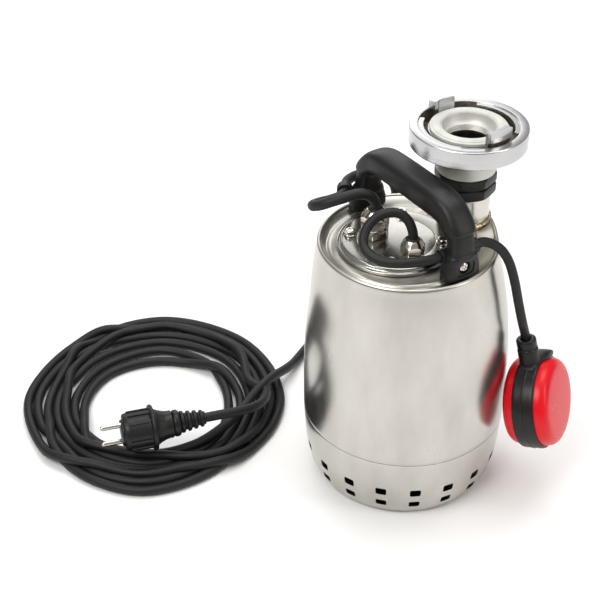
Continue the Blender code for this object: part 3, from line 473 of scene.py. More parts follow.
def turned(profile, segments, closed=False, centre=(0.0, 0.0), matrix=None):
    """Solid of revolution; an open profile that starts or ends on the axis is capped there."""
    bm = bmesh.new()
    rows = []
    for r, z in profile:
        circle = polygon(segments, r) if r > 0 else [(0, 0)]
        rows.append([bm.verts.new((x, y, z)) for x, y in circle])
    pairs = list(zip(rows, rows[1:]))
    if closed:
        pairs.append((rows[-1], rows[0]))
    for a, b in pairs:
        for i in range(segments):
            j = (i + 1) % segments
            ring = [a[i % len(a)], a[j % len(a)], b[j % len(b)], b[i % len(b)]]
            ring = list(dict.fromkeys(ring))
            if len(ring) > 2:
                bm.faces.new(ring)
    return placed(bm, centre, matrix)


def rod(radius, low, high):
    """Outline of a plain cylinder for turned()."""
    return [(0, low), (radius, low), (radius, high), (0, high)]


def prism(outline, z0, z1, centre=(0.0, 0.0), matrix=None):
    """Outline raised from z0 to z1."""
    bm = bmesh.new()
    face = bm.faces.new([bm.verts.new((x, y, z0)) for x, y in outline])
    out = bmesh.ops.extrude_face_region(bm, geom=[face])
    top = [v for v in out["geom"] if isinstance(v, bmesh.types.BMVert)]
    bmesh.ops.translate(bm, vec=(0, 0, z1 - z0), verts=top)
    return placed(bm, centre, matrix)


def sector_outline(r0, r1, middle, half, steps):
    """Part of a flat ring, about the direction of its middle."""
    angles = [middle - half + 2 * half * i / steps for i in range(steps + 1)]
    return [(r * math.cos(a), r * math.sin(a))
            for r, way in ((r1, angles), (r0, angles[::-1])) for a in way]


def rounded_box(half_x, half_y, radius):
    corners = [(-half_x, -half_y), (half_x, -half_y), (half_x, half_y), (-half_x, half_y)]
    return fillet(corners, radius, closed=True, steps=5)


def polar(radius, degrees, centre=(0.0, 0.0)):
    angle = math.radians(degrees)
    return (centre[0] + radius * math.cos(angle), centre[1] + radius * math.sin(angle))


def frame_at(origin, axis):
    """Matrix that puts local +Z along axis at origin."""
    return Matrix.Translation(origin) @ UP.rotation_difference(axis).to_matrix().to_4x4()


def facing(out, origin):
    """Matrix that puts local +Z along a level direction at origin, with local +Y up."""
    return Matrix.Translation(origin) @ Matrix((UP.cross(out), UP, out)).transposed().to_4x4()


def blunt_circle(count, power):
    """(cosine, sine) pairs round a circle that is blunted towards a square."""
    return [[math.copysign(abs(value) ** power, value) for value in pair]
            for pair in polygon(count, 1.0)]


def blend_step(x, low, high):
    """Smooth share from 0 at low to 1 at high."""
    t = min(1.0, max(0.0, (x - low) / (high - low)))
    return t * t * (3 - 2 * t)


def make(name, bm, mat):
    mesh = bpy.data.meshes.new(name)
    bm.to_mesh(mesh)
    bm.free()
    obj = bpy.data.objects.new(name, mesh)
    bpy.context.scene.collection.objects.link(obj)
    mesh.materials.append(MAT[mat])
    obj["looks"] = mat
    return obj


def lathe(name, outline, segments, mat, rounding=0.0, ring=False, **place):
    """Turned piece with rounded corners; a ring's outline is closed."""
    if rounding:
        outline = fillet(outline, rounding, closed=ring)
    return make(name, turned(outline, segments, closed=ring, **place), mat)


def shade(obj, angle):
    obj.data.shade_smooth()
    obj.data.set_sharp_from_angle(angle=math.radians(angle))


def bake(obj):
    """Replace an object's mesh by what its modifiers make of it."""
    graph = bpy.context.evaluated_depsgraph_get()
    mesh = bpy.data.meshes.new_from_object(obj.evaluated_get(graph))
    obj.modifiers.clear()
    obj.data = mesh


def combine(target, operation, tools):
    """Boolean of a piece with tools, which are used up."""
    for tool in tools:
        mod = target.modifiers.new("bool", "BOOLEAN")
        mod.operation = operation
        mod.object = tool
        bake(target)
        bpy.data.objects.remove(tool)


def trim(target, operation, outline, segments, **place):
    """Boolean of a piece with a turned shape."""
    combine(target, operation, [lathe("tool", outline, segments, target["looks"], **place)])


def bevel(obj, width, segments=3, angle=30.0):
    mod = obj.modifiers.new("bevel", "BEVEL")
    mod.width = width
    mod.segments = segments
    mod.limit_method = "ANGLE"
    mod.angle_limit = math.radians(angle)
    mod.use_clamp_overlap = True
    bake(obj)


def fit(obj, body, *nodes, angle=32.0):
    """Last step for a piece: shading, the body it moves with, and the nodes it stands for."""
    if obj.type == "MESH":
        shade(obj, angle)
    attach(obj, body)
    if nodes:
        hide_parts(*nodes)
    return obj


# ---------------------------------------------------------------- cords
def smooth_path(points, step=0.004):
    """Evenly spaced points along a smooth curve through the given ones."""
    dense = np.array(curve_through(points, 12))
    gaps = np.linalg.norm(np.diff(dense, axis=0), axis=1)
    reach = np.concatenate(([0.0], np.cumsum(gaps)))
    count = max(2, int(round(reach[-1] / step)))
    marks = np.linspace(0.0, reach[-1], count + 1)
    return np.stack([np.interp(marks, reach, dense[:, k]) for k in range(3)], axis=1)


def coil_point(lane, degrees, height):
    """Point of the coil in a lane from 0 (inside) to 5 (outside)."""
    share = lane / 5.0
    (ax, ay), ar = COIL_INNER
    (bx, by), br = COIL_OUTER
    x, y = ax + (bx - ax) * share, ay + (by - ay) * share
    radius = ar + (br - ar) * share
    angle = math.radians(degrees)
    return (x + radius * math.cos(angle), y + radius * (1 + 0.08 * share) * math.sin(angle), height)


def coil_points():
    """Turns laid clockwise; each row is the lane at the front, left, back and right."""
    lanes = ((-0.3, 0.9, 1.3, 0.0), (1.0, 0.0, 0.1, 1.1), (2.1, 2.3, 2.4, 2.2),
             (3.5, 4.4, 3.4, 3.6), (5.0, 3.3, 4.9, 5.0), (2.9, 5.1, 4.2, 4.4))
    points = []
    for turn, row in enumerate(lanes):
        for quarter, lane in enumerate(row):
            after = (row + lanes[min(turn + 1, len(lanes) - 1)])[quarter + 1]
            for part in range(2):
                degrees = -90 * (quarter + 1) - 45 * part
                height = MAINS_R + 0.0016 * turn + 0.0004 * quarter
                points.append(coil_point(lane + (after - lane) * part / 2, degrees, height))
    top = 0.0140
    for lane, degrees in ((0.9, -90), (0.7, -135), (1.8, -180), (3.6, -225), (4.4, -270),
                          (3.4, -315), (2.3, -345)):
        points.append(coil_point(lane, degrees, top))
    return points


def mains_points():
    top = [(-0.0310, -0.0010, 0.2690), (-0.0312, -0.0010, 0.2740), (-0.0332, -0.0014, 0.2795),
           (-0.0388, -0.0030, 0.2846), (-0.0470, -0.0055, 0.2862), (-0.0570, -0.0085, 0.2848),
           (-0.0680, -0.0100, 0.2818), (-0.0765, -0.0078, 0.2774), (-0.0822, -0.0005, 0.2722),
           (-0.0815, 0.0090, 0.2678), (-0.0755, 0.0175, 0.2648), (-0.0670, 0.0245, 0.2630),
           (-0.0590, 0.0320, 0.2620), (-0.0552, 0.0400, 0.2615), (-0.0548, 0.0490, 0.2612),
           (-0.0515, 0.0610, 0.2610), (-0.0425, 0.0705, 0.2605), (-0.0300, 0.0775, 0.2590)]
    down = [(-0.0180, 0.0825, 0.2535), (-0.0105, 0.0862, 0.2430), (-0.0070, 0.0892, 0.2280),
            (-0.0060, 0.0925, 0.2050), (-0.0065, 0.0975, 0.1650), (-0.0080, 0.1025, 0.1150),
            (-0.0100, 0.1085, 0.0650), (-0.0120, 0.1180, 0.0270), (-0.0140, 0.1330, 0.0090),
            (-0.0180, 0.1520, 0.0050), (-0.0290, 0.1720, 0.0050), (-0.0480, 0.1840, 0.0050),
            (-0.0685, 0.1790, 0.0050), (-0.0830, 0.1640, 0.0050), (-0.0920, 0.1470, 0.0055)]
    across = [(-0.1000, 0.1290, 0.0080), (-0.1090, 0.1090, 0.0150), (-0.1210, 0.0880, 0.0220),
              (-0.1350, 0.0640, 0.0240), (-0.1480, 0.0390, 0.0230), (-0.1660, 0.0180, 0.0180),
              (-0.1930, 0.0020, 0.0100)]
    plug_end = PLUG_FACE + PLUG_DIR * (RELIEF_END - 0.0040)
    away = [(-0.1275, 0.0700, 0.0215), (-0.1262, 0.0560, 0.0250), (-0.1290, 0.0430, 0.0285),
            (-0.1345, 0.0320, 0.0325), (-0.1430, 0.0225, 0.0362), (-0.1540, 0.0155, 0.0388),
            tuple(plug_end + PLUG_DIR * 0.0130), tuple(plug_end)]
    return top + down + across + coil_points() + away


def settle(path, radius, held_start, held_end, rounds=260):
    """Let the lead's strands push each other apart and sink to the floor.

    The designed route is kept as a base; only a smooth displacement is added to it.
    The first and last points are held."""
    count = len(path)
    ramp = 24                       # points over which a held end comes free
    neighbours = 8                  # points along the cord that don't push each other
    share = 0.36                    # of an overlap that is undone in each round
    sink = 0.00010
    free = np.ones(count)
    free[:held_start] = 0.0
    free[held_start:held_start + ramp] = np.linspace(0.0, 1.0, ramp)
    free[count - held_end:] = 0.0
    free[count - held_end - ramp:count - held_end] = np.linspace(1.0, 0.0, ramp)
    moved = np.zeros_like(path)
    index = np.arange(count)
    apart = np.abs(index[:, None] - index[None, :]) > neighbours
    reach = 2.0 * radius * 1.02
    for _ in range(rounds):
        here = path + moved
        offset = here[:, None, :] - here[None, :, :]
        offset[:, :, 2] *= 1.25
        gap = np.sqrt((offset ** 2).sum(axis=2)) + 1e-9
        near = (gap < reach) & apart
        push = np.where(near, (reach - gap) / gap * share, 0.0)
        moved += (offset * push[:, :, None]).sum(axis=1) * free[:, None]
        moved[:, 2] -= sink * free
        for _ in range(2):
            inner = 0.25 * moved[:-2] + 0.5 * moved[1:-1] + 0.25 * moved[2:]
            moved[1:-1] = inner
        moved *= np.minimum(1.0, free + 0.02)[:, None]
        low = path[:, 2] + moved[:, 2] < radius
        moved[low, 2] = radius - path[low, 2]
    return path + moved


def curve_object(name, path, radius, mat):
    data = bpy.data.curves.new(name, "CURVE")
    data.dimensions = "3D"
    data.bevel_depth = radius
    data.bevel_resolution = 5
    data.use_fill_caps = True
    spline = data.splines.new("POLY")
    spline.points.add(len(path) - 1)
    for point, place in zip(spline.points, path):
        point.co = (*place, 1.0)
    spline.use_smooth = True
    obj = bpy.data.objects.new(name, data)
    bpy.context.scene.collection.objects.link(obj)
    data.materials.append(MAT[mat])
    obj["looks"] = mat
    return obj


def measured(path):
    """Length of a path."""
    return float(np.linalg.norm(np.diff(path, axis=0), axis=1).sum())


def tube(path, radius):
    """Round tube along a path, with end caps."""
    points = [Vector(p) for p in path]
    side = UP.cross(points[1] - points[0])
    rings = []
    for i, p in enumerate(points):
        along = (points[min(i + 1, len(points) - 1)] - points[max(i - 1, 0)]).normalized()
        side = (side - along * side.dot(along)).normalized()
        other = along.cross(side)
        rings.append([p + side * c + other * s for c, s in polygon(24, radius)])
    return loft(rings)


def mains_lead():
    path = smooth_path(mains_points(), 0.0042)
    path = settle(path, MAINS_R, held_start=190, held_end=26)
    obj = curve_object("mains_lead", path, MAINS_R, "cable")
    return fit(obj, "pump", "mains_cable", "mains_coil", "plug_lead"), measured(path)


def float_lead():
    start = [(-0.0020, -0.0350, 0.2600), (-0.0020, -0.0350, 0.2650), (-0.0030, -0.0335, 0.2700),
             (-0.0060, -0.0300, 0.2760), (-0.0125, -0.0272, 0.2808), (-0.0210, -0.0268, 0.2820),
             (-0.0300, -0.0282, 0.2795), (-0.0376, -0.0322, 0.2740), (-0.0420, -0.0386, 0.2674),
             (-0.0420, -0.0460, 0.2620), (-0.0372, -0.0532, 0.2584), (-0.0290, -0.0588, 0.2570),
             (-0.0190, -0.0618, 0.2566), (-0.0080, -0.0622, 0.2568), (0.0030, -0.0602, 0.2571),
             (0.0110, -0.0578, 0.2573), tuple(CLAMP_IN), tuple((CLAMP_IN + CLAMP_OUT) / 2),
             tuple(CLAMP_OUT)]
    hang = [tuple(CLAMP_OUT + CLAMP_DIR * 0.0060), (0.0620, -0.0334, 0.2566),
            (0.0710, -0.0318, 0.2490), (0.0785, -0.0312, 0.2360), (0.0845, -0.0310, 0.2170),
            (0.0895, -0.0302, 0.1960), (0.0945, -0.0290, 0.1760)]
    hang += [tuple(FLOAT_C + FLOAT_UP * d) for d in (0.0700, 0.0550, 0.0440)]
    path = smooth_path(start + hang, 0.0030)
    obj = make("float_switch_lead", tube(path, FLOAT_LEAD_R), "cable")
    shade(obj, 40.0)
    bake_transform(obj)
    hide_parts("float_lead", "float_cable")


def plug():
    """Flat-faced two-pin plug: ribbed body, round flange, waist and ribbed strain relief."""
    here = frame_at(PLUG_FACE, PLUG_DIR)
    body_profile = [(0, -0.0002), (0.0122, -0.0002), (0.0122, 0.0020), (0.0168, 0.0024),
                    (0.0176, 0.0060), (0.0176, 0.0262), (0.0206, 0.0268), (0.0213, 0.0280),
                    (0.0213, 0.0296), (0.0205, 0.0306), (0.0172, 0.0312), (0.0152, 0.0345),
                    (0.0132, 0.0400), (0.0126, 0.0440), (0.0128, 0.0468), (0, 0.0468)]
    shell = lathe("plug_shell", body_profile, 128, "black", 0.0010, matrix=here)
    ribs = []
    for k in range(RIBS):
        angle = 2 * math.pi * (k + 0.5) / RIBS
        rib = bmesh.new()
        bmesh.ops.create_cube(rib, size=1.0)
        place = (here @ Matrix.Rotation(angle, 4, "Z") @ Matrix.Translation((0.0170, 0, 0.0165))
                 @ Matrix.Diagonal((0.0034, 0.0030, 0.0200, 1.0)))
        bmesh.ops.transform(rib, matrix=place, verts=rib.verts[:])
        ribs.append(make("rib", rib, "black"))
    combine(shell, "UNION", ribs)
    bevel(shell, 0.0005)
    fit(shell, "pump", "plug_body")
    relief_profile = [(MAINS_R, 0.0472), (0.0114, 0.0472), (0.0124, 0.0490), (0.0124, 0.0520),
                      (0.0112, 0.0536)]
    for i in range(4):
        z = 0.0542 + 0.0060 * i
        r = 0.0104 - 0.0008 * i
        relief_profile += [(r - 0.0020, z), (r, z + 0.0008), (r - 0.0002, z + 0.0034),
                           (r - 0.0022, z + 0.0042)]
    relief_profile += [(0.0064, 0.0778), (MAINS_R, RELIEF_END)]
    relief = lathe("plug_relief", fillet(relief_profile, 0.0006), 96, "black", ring=True,
                   matrix=here)
    fit(relief, "pump", "plug_strain_relief", angle=50.0)
    pin_profile = [(0, -0.0190), (0.0012, -0.0190), (0.0020, -0.0184), (PIN_R, -0.0172),
                   (PIN_R, 0.0006), (0, 0.0006)]
    pieces = [shell, relief]
    for name, sign in (("pin_1", 1), ("pin_2", -1)):
        spot = frame_at(PLUG_FACE + UP * (sign * PIN_HALF_PITCH), PLUG_DIR)
        pin = lathe(name, pin_profile, 48, "nickel", 0.0004, matrix=spot)
        pieces.append(fit(pin, "pump", "plug_pins"))
    return pieces


# ---------------------------------------------------------------- casing
def lean(z):
    share = blend_step(z, 0.170, 0.235)
    return RIM_SHIFT[0] * share, RIM_SHIFT[1] * share


def hump(x, y):
    """Share by which the deck is drawn up towards the discharge socket."""
    near = 1 - blend_step(math.hypot(x - DISCHARGE[0], y - DISCHARGE[1]), 0.0235, 0.0420)
    clear = blend_step(math.hypot(x - MOTOR[0], y - MOTOR[1]), 0.0520, 0.0620)
    return near * clear


def circle_ring(centre, radius, z):
    return [Vector((centre[0] + x, centre[1] + y, z)) for x, y in polygon(192, radius)]


def jacket():
    """Drawn barrel with a rolled rim, a pressed deck ring and a raised discharge seat."""
    wall = [(0.0892, 0.0660), (0.0896, 0.0700), (0.0896, 0.1000), (0.0895, 0.1200),
            (0.0889, 0.1370), (0.0875, 0.1560), (0.0862, 0.1690), (0.0845, 0.1840),
            (0.0826, 0.1990), (0.0805, 0.2130), (0.0782, 0.2260), (0.0770, 0.2330),
            (0.0765, 0.2370), (0.0761, 0.2392), (0.0752, 0.2404), (0.0740, 0.2408),
            (0.0728, 0.2403), (0.0720, 0.2393)]
    rings = [circle_ring(lean(z), r, z) for r, z in curve_through(wall, 3)]
    deck = [((-0.0035, -0.0025), 0.0700, 0.2384), ((-0.0050, -0.0045), 0.0670, 0.2376),
            ((-0.0070, -0.0070), 0.0645, 0.2373), (STEP_CENTRE, 0.0628, 0.2376),
            (STEP_CENTRE, 0.0618, 0.2390), (STEP_CENTRE, 0.0605, 0.2399),
            (STEP_CENTRE, 0.0590, 0.2401), ((-0.0100, -0.0082), 0.0560, 0.2401),
            ((-0.0120, -0.0084), 0.0530, 0.2401), (MOTOR, 0.0512, 0.2401),
            (MOTOR, 0.0470, 0.2400), (MOTOR, 0.0439, 0.2400), (MOTOR, 0.0439, 0.2386)]
    rings += [circle_ring(*level) for level in deck]
    for p in (point for ring in rings for point in ring):
        p.z += SEAT_RISE * hump(p.x, p.y) * blend_step(p.z, 0.2150, 0.2385)
    inside = ((0.0700, 0.2300), (0.0815, 0.1900), (0.0875, 0.1200), (0.0875, 0.0660))
    rings += [circle_ring((0, 0), r, z) for r, z in inside]
    obj = make("jacket_shell", loft(rings, closed_along=True), "brushed")
    obj.data.materials.append(MAT["deck"])
    trim(obj, "DIFFERENCE", rod(0.0215, 0.20, 0.26), 96, centre=DISCHARGE)
    for face in obj.data.polygons:
        x, y, z = face.center
        on_deck = z > 0.2370 and math.hypot(x - RIM_SHIFT[0], y - RIM_SHIFT[1]) < 0.0757
        face.material_index = 1 if on_deck else 0
    fit(obj, "pump", "outer_jacket", angle=28.0)


def strainer():
    """Perforated foot with a rounded bottom edge and two rows of holes."""
    outside = curve_through([(0.0720, 0.0), (0.0762, 0.0012), (0.0790, 0.0045), (0.0822, 0.0110),
                             (0.0848, 0.0200), (0.0865, 0.0290), (0.0876, 0.0370),
                             (0.0885, 0.0500), (0.0891, 0.0600), (0.0893, 0.0654)], 4)
    inside = [(0.0892, 0.0657), (0.0874, 0.0657), (0.0874, 0.0700), (0.0862, 0.0700),
              (0.0862, 0.0560), (0.0836, 0.0200), (0.0780, 0.0060), (0.0715, SHEET), (0.0, SHEET)]
    obj = lathe("strainer_shell", [(0.0, 0.0), *outside, *inside], 180, "brushed")
    cuts = bmesh.new()
    for z, height in HOLE_ROWS:
        for k in range(HOLES_ROUND):
            out = Vector((*polar(1.0, HOLE_AZ + 360.0 * k / HOLES_ROUND), 0.0))
            hole = prism(rounded_box(HOLE_W / 2, height / 2, 0.0018), -0.010, 0.012,
                         matrix=facing(out, out * 0.0850 + UP * z))
            mesh = bpy.data.meshes.new("hole")
            hole.to_mesh(mesh)
            hole.free()
            cuts.from_mesh(mesh)
            bpy.data.meshes.remove(mesh)
    combine(obj, "DIFFERENCE", [make("cuts", cuts, "brushed")])
    fit(obj, "pump", "strainer", angle=28.0)


def motor_cover():
    """Turned cover with a flange, a stepped edge and fine grooves."""
    outline = [(0.0, 0.2403), (0.0492, 0.2403), (0.0496, 0.2408), (0.0496, 0.2424),
               (0.0490, 0.2430), (0.0478, 0.2432), (0.0472, 0.2428), (0.0468, 0.2430),
               (0.0462, 0.2437), (0.0460, 0.2446), (0.0452, 0.2453), (0.0444, COVER_Z),
               (0.0330, COVER_Z), (0.0328, 0.2453), (0.0325, COVER_Z), (0.0, COVER_Z)]
    obj = lathe("cover_disc", outline, 160, "polished", 0.0004, centre=MOTOR)
    trim(obj, "DIFFERENCE", rod(0.0229, 0.23, 0.26), 96, centre=DISCHARGE)
    fit(obj, "pump", "motor_cover")


def cover_bolts():
    """Hexagon heads with a rounded top, each on its washer."""
    dome = [(0, 0.2440), (0.0044, 0.2440), (0.0048, 0.2486), (0.0040, 0.2499),
            (0.0030, 0.2501), (0.0014, 0.2499), (0, 0.2499)]
    washer = [(0, 0.2457), (0.0053, 0.2457), (0.0054, 0.2460), (0.0053, 0.2468),
              (0.0044, 0.2470), (0, 0.2470)]
    for number, azimuth in enumerate(BOLT_AZ, 1):
        centre = polar(BOLT_CIRCLE, azimuth, MOTOR)
        hexagon = fillet(polygon(6, 0.0047, math.radians(azimuth + 14)), 0.0004, closed=True)
        head = make("bolt_%d" % number, prism(hexagon, 0.2464, 0.2500, centre), "nickel")
        trim(head, "INTERSECT", dome, 48, centre=centre)
        trim(head, "UNION", washer, 64, centre=centre)
        bevel(head, 0.00018, 2)
        fit(head, "pump", "cover_bolt_%d" % number)


def gland(name, centre, corner, levels, bore, turn, nodes):
    """Nickel gland: hex body, shoulder, domed hex nut and a rubber ring round the cable."""
    base, top, nut_top = levels
    flat = corner * 0.866
    hexagon = fillet(polygon(6, corner, math.radians(turn)), 0.0007, closed=True)
    body = make(name + "_base", prism(hexagon, base, top - 0.0004, centre), "nickel")
    cone = [(0, base - 0.002), (corner * 1.01, base - 0.002), (corner * 1.01, top - 0.0014),
            (flat * 0.98, top - 0.0002), (0, top - 0.0002)]
    trim(body, "INTERSECT", cone, 64, centre=centre)
    bevel(body, 0.0002, 2)
    fit(body, "pump", nodes[0])
    upper = fillet(polygon(6, corner * 0.97, math.radians(turn - 12)), 0.0007, closed=True)
    nut = make(name + "_cap", prism(upper, top, nut_top, centre), "nickel")
    height = nut_top - top
    dome = [(0, top - 0.001), (corner * 0.93, top - 0.001), (corner * 0.985, top + 0.0012),
            (corner * 0.985, top + height * 0.52), (flat * 0.97, top + height * 0.66),
            (flat * 0.84, top + height * 0.86), (bore + 0.0017, nut_top),
            (bore + 0.0006, nut_top), (bore + 0.0006, nut_top - 0.003), (0, nut_top - 0.003)]
    trim(nut, "INTERSECT", dome, 64, centre=centre)
    bevel(nut, 0.0002, 2)
    fit(nut, "pump", nodes[1])
    ring = [(bore - 0.0004, nut_top - 0.0030), (bore + 0.0006, nut_top - 0.0030),
            (bore + 0.0006, nut_top + 0.0002), (bore + 0.0001, nut_top + 0.0009),
            (bore - 0.0004, nut_top + 0.0010)]
    fit(lathe(name + "_seal", ring, 48, "seal", ring=True, centre=centre), "pump")


# ---------------------------------------------------------------- discharge side
def socket():
    """Welded pipe stub with a rippled bead round its foot."""
    outline = [(0.0200, 0.2362), (SOCKET_R, 0.2362), (SOCKET_R, 0.2715), (0.0221, 0.2725),
               (0.0216, SOCKET_TOP), (0.0204, SOCKET_TOP), (0.0200, 0.2725)]
    pipe = lathe("socket_pipe", outline, 128, "weld", 0.0003, ring=True, centre=DISCHARGE)
    fit(pipe, "pump", "discharge_socket")
    rings = []
    for x, y in polygon(160, 1.0):
        a = math.atan2(y, x)
        out = Vector((x, y, 0))
        foot = Vector((*DISCHARGE, WELD_Z)) + out * (SOCKET_R + 0.0009)
        foot.z += SEAT_RISE * hump(foot.x, foot.y)
        size = 0.0013 * (1 + 0.12 * math.sin(31 * a) + 0.08 * math.sin(17 * a))
        rings.append([foot + (out * c + UP * s) * size for c, s in polygon(14, 1.0)])
    bead = make("weld_bead", loft(rings, closed_along=True), "weld")
    fit(bead, "pump", angle=60.0)


def collar(name, z0, z1, spigot, node):
    """Octagonal collar with chamfered rims, a bore, and a spigot: radius, bottom and top."""
    flat = fillet(polygon(8, COLLAR_R, COLLAR_TURN), 0.0005, closed=True)
    obj = make(name, prism(flat, z0, z1, DISCHARGE), "black")
    cone = [(0, z0 - 0.001), (0.0238, z0), (0.0252, z0 + 0.0004), (0.0264, z0 + 0.0014),
            (0.0264, z1 - 0.0016), (0.0252, z1 - 0.0005), (0.0238, z1), (0, z1 + 0.001)]
    trim(obj, "INTERSECT", cone, 96, centre=DISCHARGE)
    trim(obj, "UNION", rod(*spigot), 96, centre=DISCHARGE)
    trim(obj, "DIFFERENCE", rod(0.0165, 0.20, 0.35), 96, centre=DISCHARGE)
    bevel(obj, 0.0003, 2, 40.0)
    fit(obj, "pump", node)


def coupling():
    """Cast hose coupling: hub, ring, recess, clamping rails and two hooked lugs."""
    outline = [(0.0204, 0.2928), (0.0246, 0.2928), (0.0250, 0.2934), (0.0254, 0.3100),
               (0.0262, 0.3162), (0.0290, 0.3170), (0.0484, 0.3170), (COUPLING_R, 0.3178),
               (COUPLING_R, 0.3322), (0.0484, COUPLING_Z), (0.0419, COUPLING_Z), (0.0415, 0.3326),
               (0.0415, 0.3210), (0.0335, 0.3210), (0.0335, 0.3290), (0.0228, 0.3290),
               (0.0228, 0.3185), (0.0204, 0.3185)]
    obj = lathe("coupling_casting", outline, 192, "turned", 0.0004, ring=True, centre=DISCHARGE)
    sectors = [(0.0374, 0.0418, RAIL_AZ + turn, RAIL_HALF, 40, 0.3285, 0.3320)
               for turn in (0.0, math.pi)]
    for azimuth in (LUG_AZ, LUG_AZ + math.pi):
        sectors.append((0.0326, 0.0378, azimuth - math.radians(2), math.radians(14), 16,
                        0.3200, 0.3424))
        sectors.append((0.0330, 0.0394, azimuth + math.radians(3), math.radians(17), 20,
                        0.3352, 0.3428))
    combine(obj, "UNION", [make("sector", prism(sector_outline(*shape), low, high, DISCHARGE),
                                "turned") for *shape, low, high in sectors])
    bevel(obj, 0.0006, 3, 40.0)
    obj.data.materials.append(MAT["recess"])
    obj.data.materials.append(MAT["cast"])
    # the groove faces take the darker brownish recess look, which is painted shade; the hub's
    # underside takes the cast finish
    for face in obj.data.polygons:
        x, y, z = face.center
        radius = math.hypot(x - DISCHARGE[0], y - DISCHARGE[1])
        if 0.0318 < radius < 0.0425 and 0.3172 < z < 0.3283:
            face.material_index = 1
        elif radius < 0.0300 and z < 0.3172:
            face.material_index = 2
    fit(obj, "pump", "coupling_body")


def gasket():
    """Off-white sealing ring with a raised lip."""
    outline = [(0.0230, 0.3293), (0.0322, 0.3293), (0.0322, 0.3318), (0.0306, 0.3322),
               (0.0302, 0.3330), (0.0286, 0.3333), (0.0282, 0.3336), (0.0262, 0.3338),
               (0.0258, 0.3334), (0.0244, 0.3334), (0.0238, 0.3328), (0.0230, 0.3322)]
    obj = lathe("gasket_ring", outline, 160, "gasket", 0.0004, ring=True, centre=DISCHARGE)
    fit(obj, "pump", "coupling_gasket")


def bore_liner():
    """Threaded cast bore under the gasket, with a flared mouth."""
    cone = [(0.0226, 0.3240), (0.0229, 0.3300), (0.0229, 0.3318), (0.0224, 0.3318),
            (0.0219, 0.3300), (0.0211, 0.3262), (0.0194, 0.3240)]
    for i in range(5):
        cone += [(0.0186, 0.3236 - 0.0012 * i), (0.0181, 0.3230 - 0.0012 * i)]
    cone += [(0.0186, 0.3173), (0.0202, 0.3173), (0.0203, 0.3200)]
    fit(lathe("bore_liner", cone, 128, "cast", ring=True, centre=DISCHARGE), "pump")


# ---------------------------------------------------------------- handle
ALONG = Vector((math.cos(HANDLE_AZ), math.sin(HANDLE_AZ), 0))
ACROSS = Vector((-ALONG.y, ALONG.x, 0))
HANDLE_HALF = ((0.0640, 0.2405, 90, 0.0075, 0.0176), (0.0640, 0.2480, 90, 0.0075, 0.0170),
               (0.0640, 0.2545, 92, 0.0074, 0.0150), (0.0640, 0.2565, 93, 0.0083, 0.0145),
               (0.0640, 0.2600, 94, 0.0084, 0.0134), (0.0638, 0.2622, 95, 0.0074, 0.0118),
               (0.0632, 0.2680, 98, 0.0073, 0.0110), (0.0620, 0.2745, 105, 0.0075, 0.0107),
               (0.0612, 0.2772, 108, 0.0078, 0.0110), (0.0608, 0.2782, 111, 0.0094, 0.0127),
               (0.0570, 0.2840, 127, 0.0096, 0.0129),
               (0.0490, 0.2905, 152, 0.0106, 0.0126), (0.0380, 0.2935, 172, 0.0116, 0.0130),
               (0.0190, 0.2941, 178, 0.0118, 0.0132))


def station_ring(station):
    """Section of the handle: place along and up, direction, half thickness and half width."""
    u, z, tilt, half, width = station
    angle = math.radians(tilt)
    normal = ALONG * math.sin(angle) - UP * math.cos(angle)
    centre = ALONG * u + UP * z
    return [centre + ACROSS * (c * width) + normal * (s * half) for c, s in blunt_circle(56, 0.62)]


def handle():
    """Arched moulded handle: two flared feet with screw pockets and a padded grip."""
    mirrored = [(-u, z, 360 - tilt, half, width)
                for u, z, tilt, half, width in reversed(HANDLE_HALF)]
    stations = [*HANDLE_HALF, (0.0, GRIP_Z, 180, 0.0118, 0.0132), *mirrored]
    sections = [station_ring(station) for station in curve_through(stations, 6)]
    obj = make("handle_moulding", loft(sections), "handle")
    screw_hole = [(0, 0.0670), (0.0054, 0.0670), (0.0056, 0.0740), (0, 0.0740)]
    for out in (ALONG, -ALONG):
        base = facing(out, UP * SCREW_Z)
        pocket = prism(rounded_box(0.0092, 0.0066, 0.0045), 0.0702, 0.0760, matrix=base)
        combine(obj, "DIFFERENCE", [make("pocket", pocket, "handle")])
        trim(obj, "DIFFERENCE", screw_hole, 48, matrix=base)
    trim(obj, "DIFFERENCE", rod(0.0066, -0.004, CLAMP_LENGTH + 0.004), 48,
         matrix=frame_at(CLAMP_IN, CLAMP_DIR))
    bevel(obj, 0.0006, 3, 35.0)
    fit(obj, "pump", "handle", angle=40.0)


def handle_screws():
    """Pan heads with a cross recess, at the bottom of the feet's pockets."""
    outline = [(0, 0.0672), (0.0046, 0.0672), (0.0047, 0.0680), (0.0040, 0.0694),
               (0.0026, 0.0701), (0, 0.0703)]
    for out, node in ((ALONG, "handle_screw_front"), (-ALONG, "handle_screw_rear")):
        base = facing(out, UP * SCREW_Z)
        head = lathe(node + "_head", outline, 64, "nickel", 0.0003, matrix=base)
        slots = [prism(rounded_box(*half, 0.0002), 0.0690, 0.0720, matrix=base)
                 for half in ((0.0026, 0.0005), (0.0005, 0.0026))]
        combine(head, "DIFFERENCE", [make("slot", slot, "nickel") for slot in slots])
        fit(head, "pump", node)


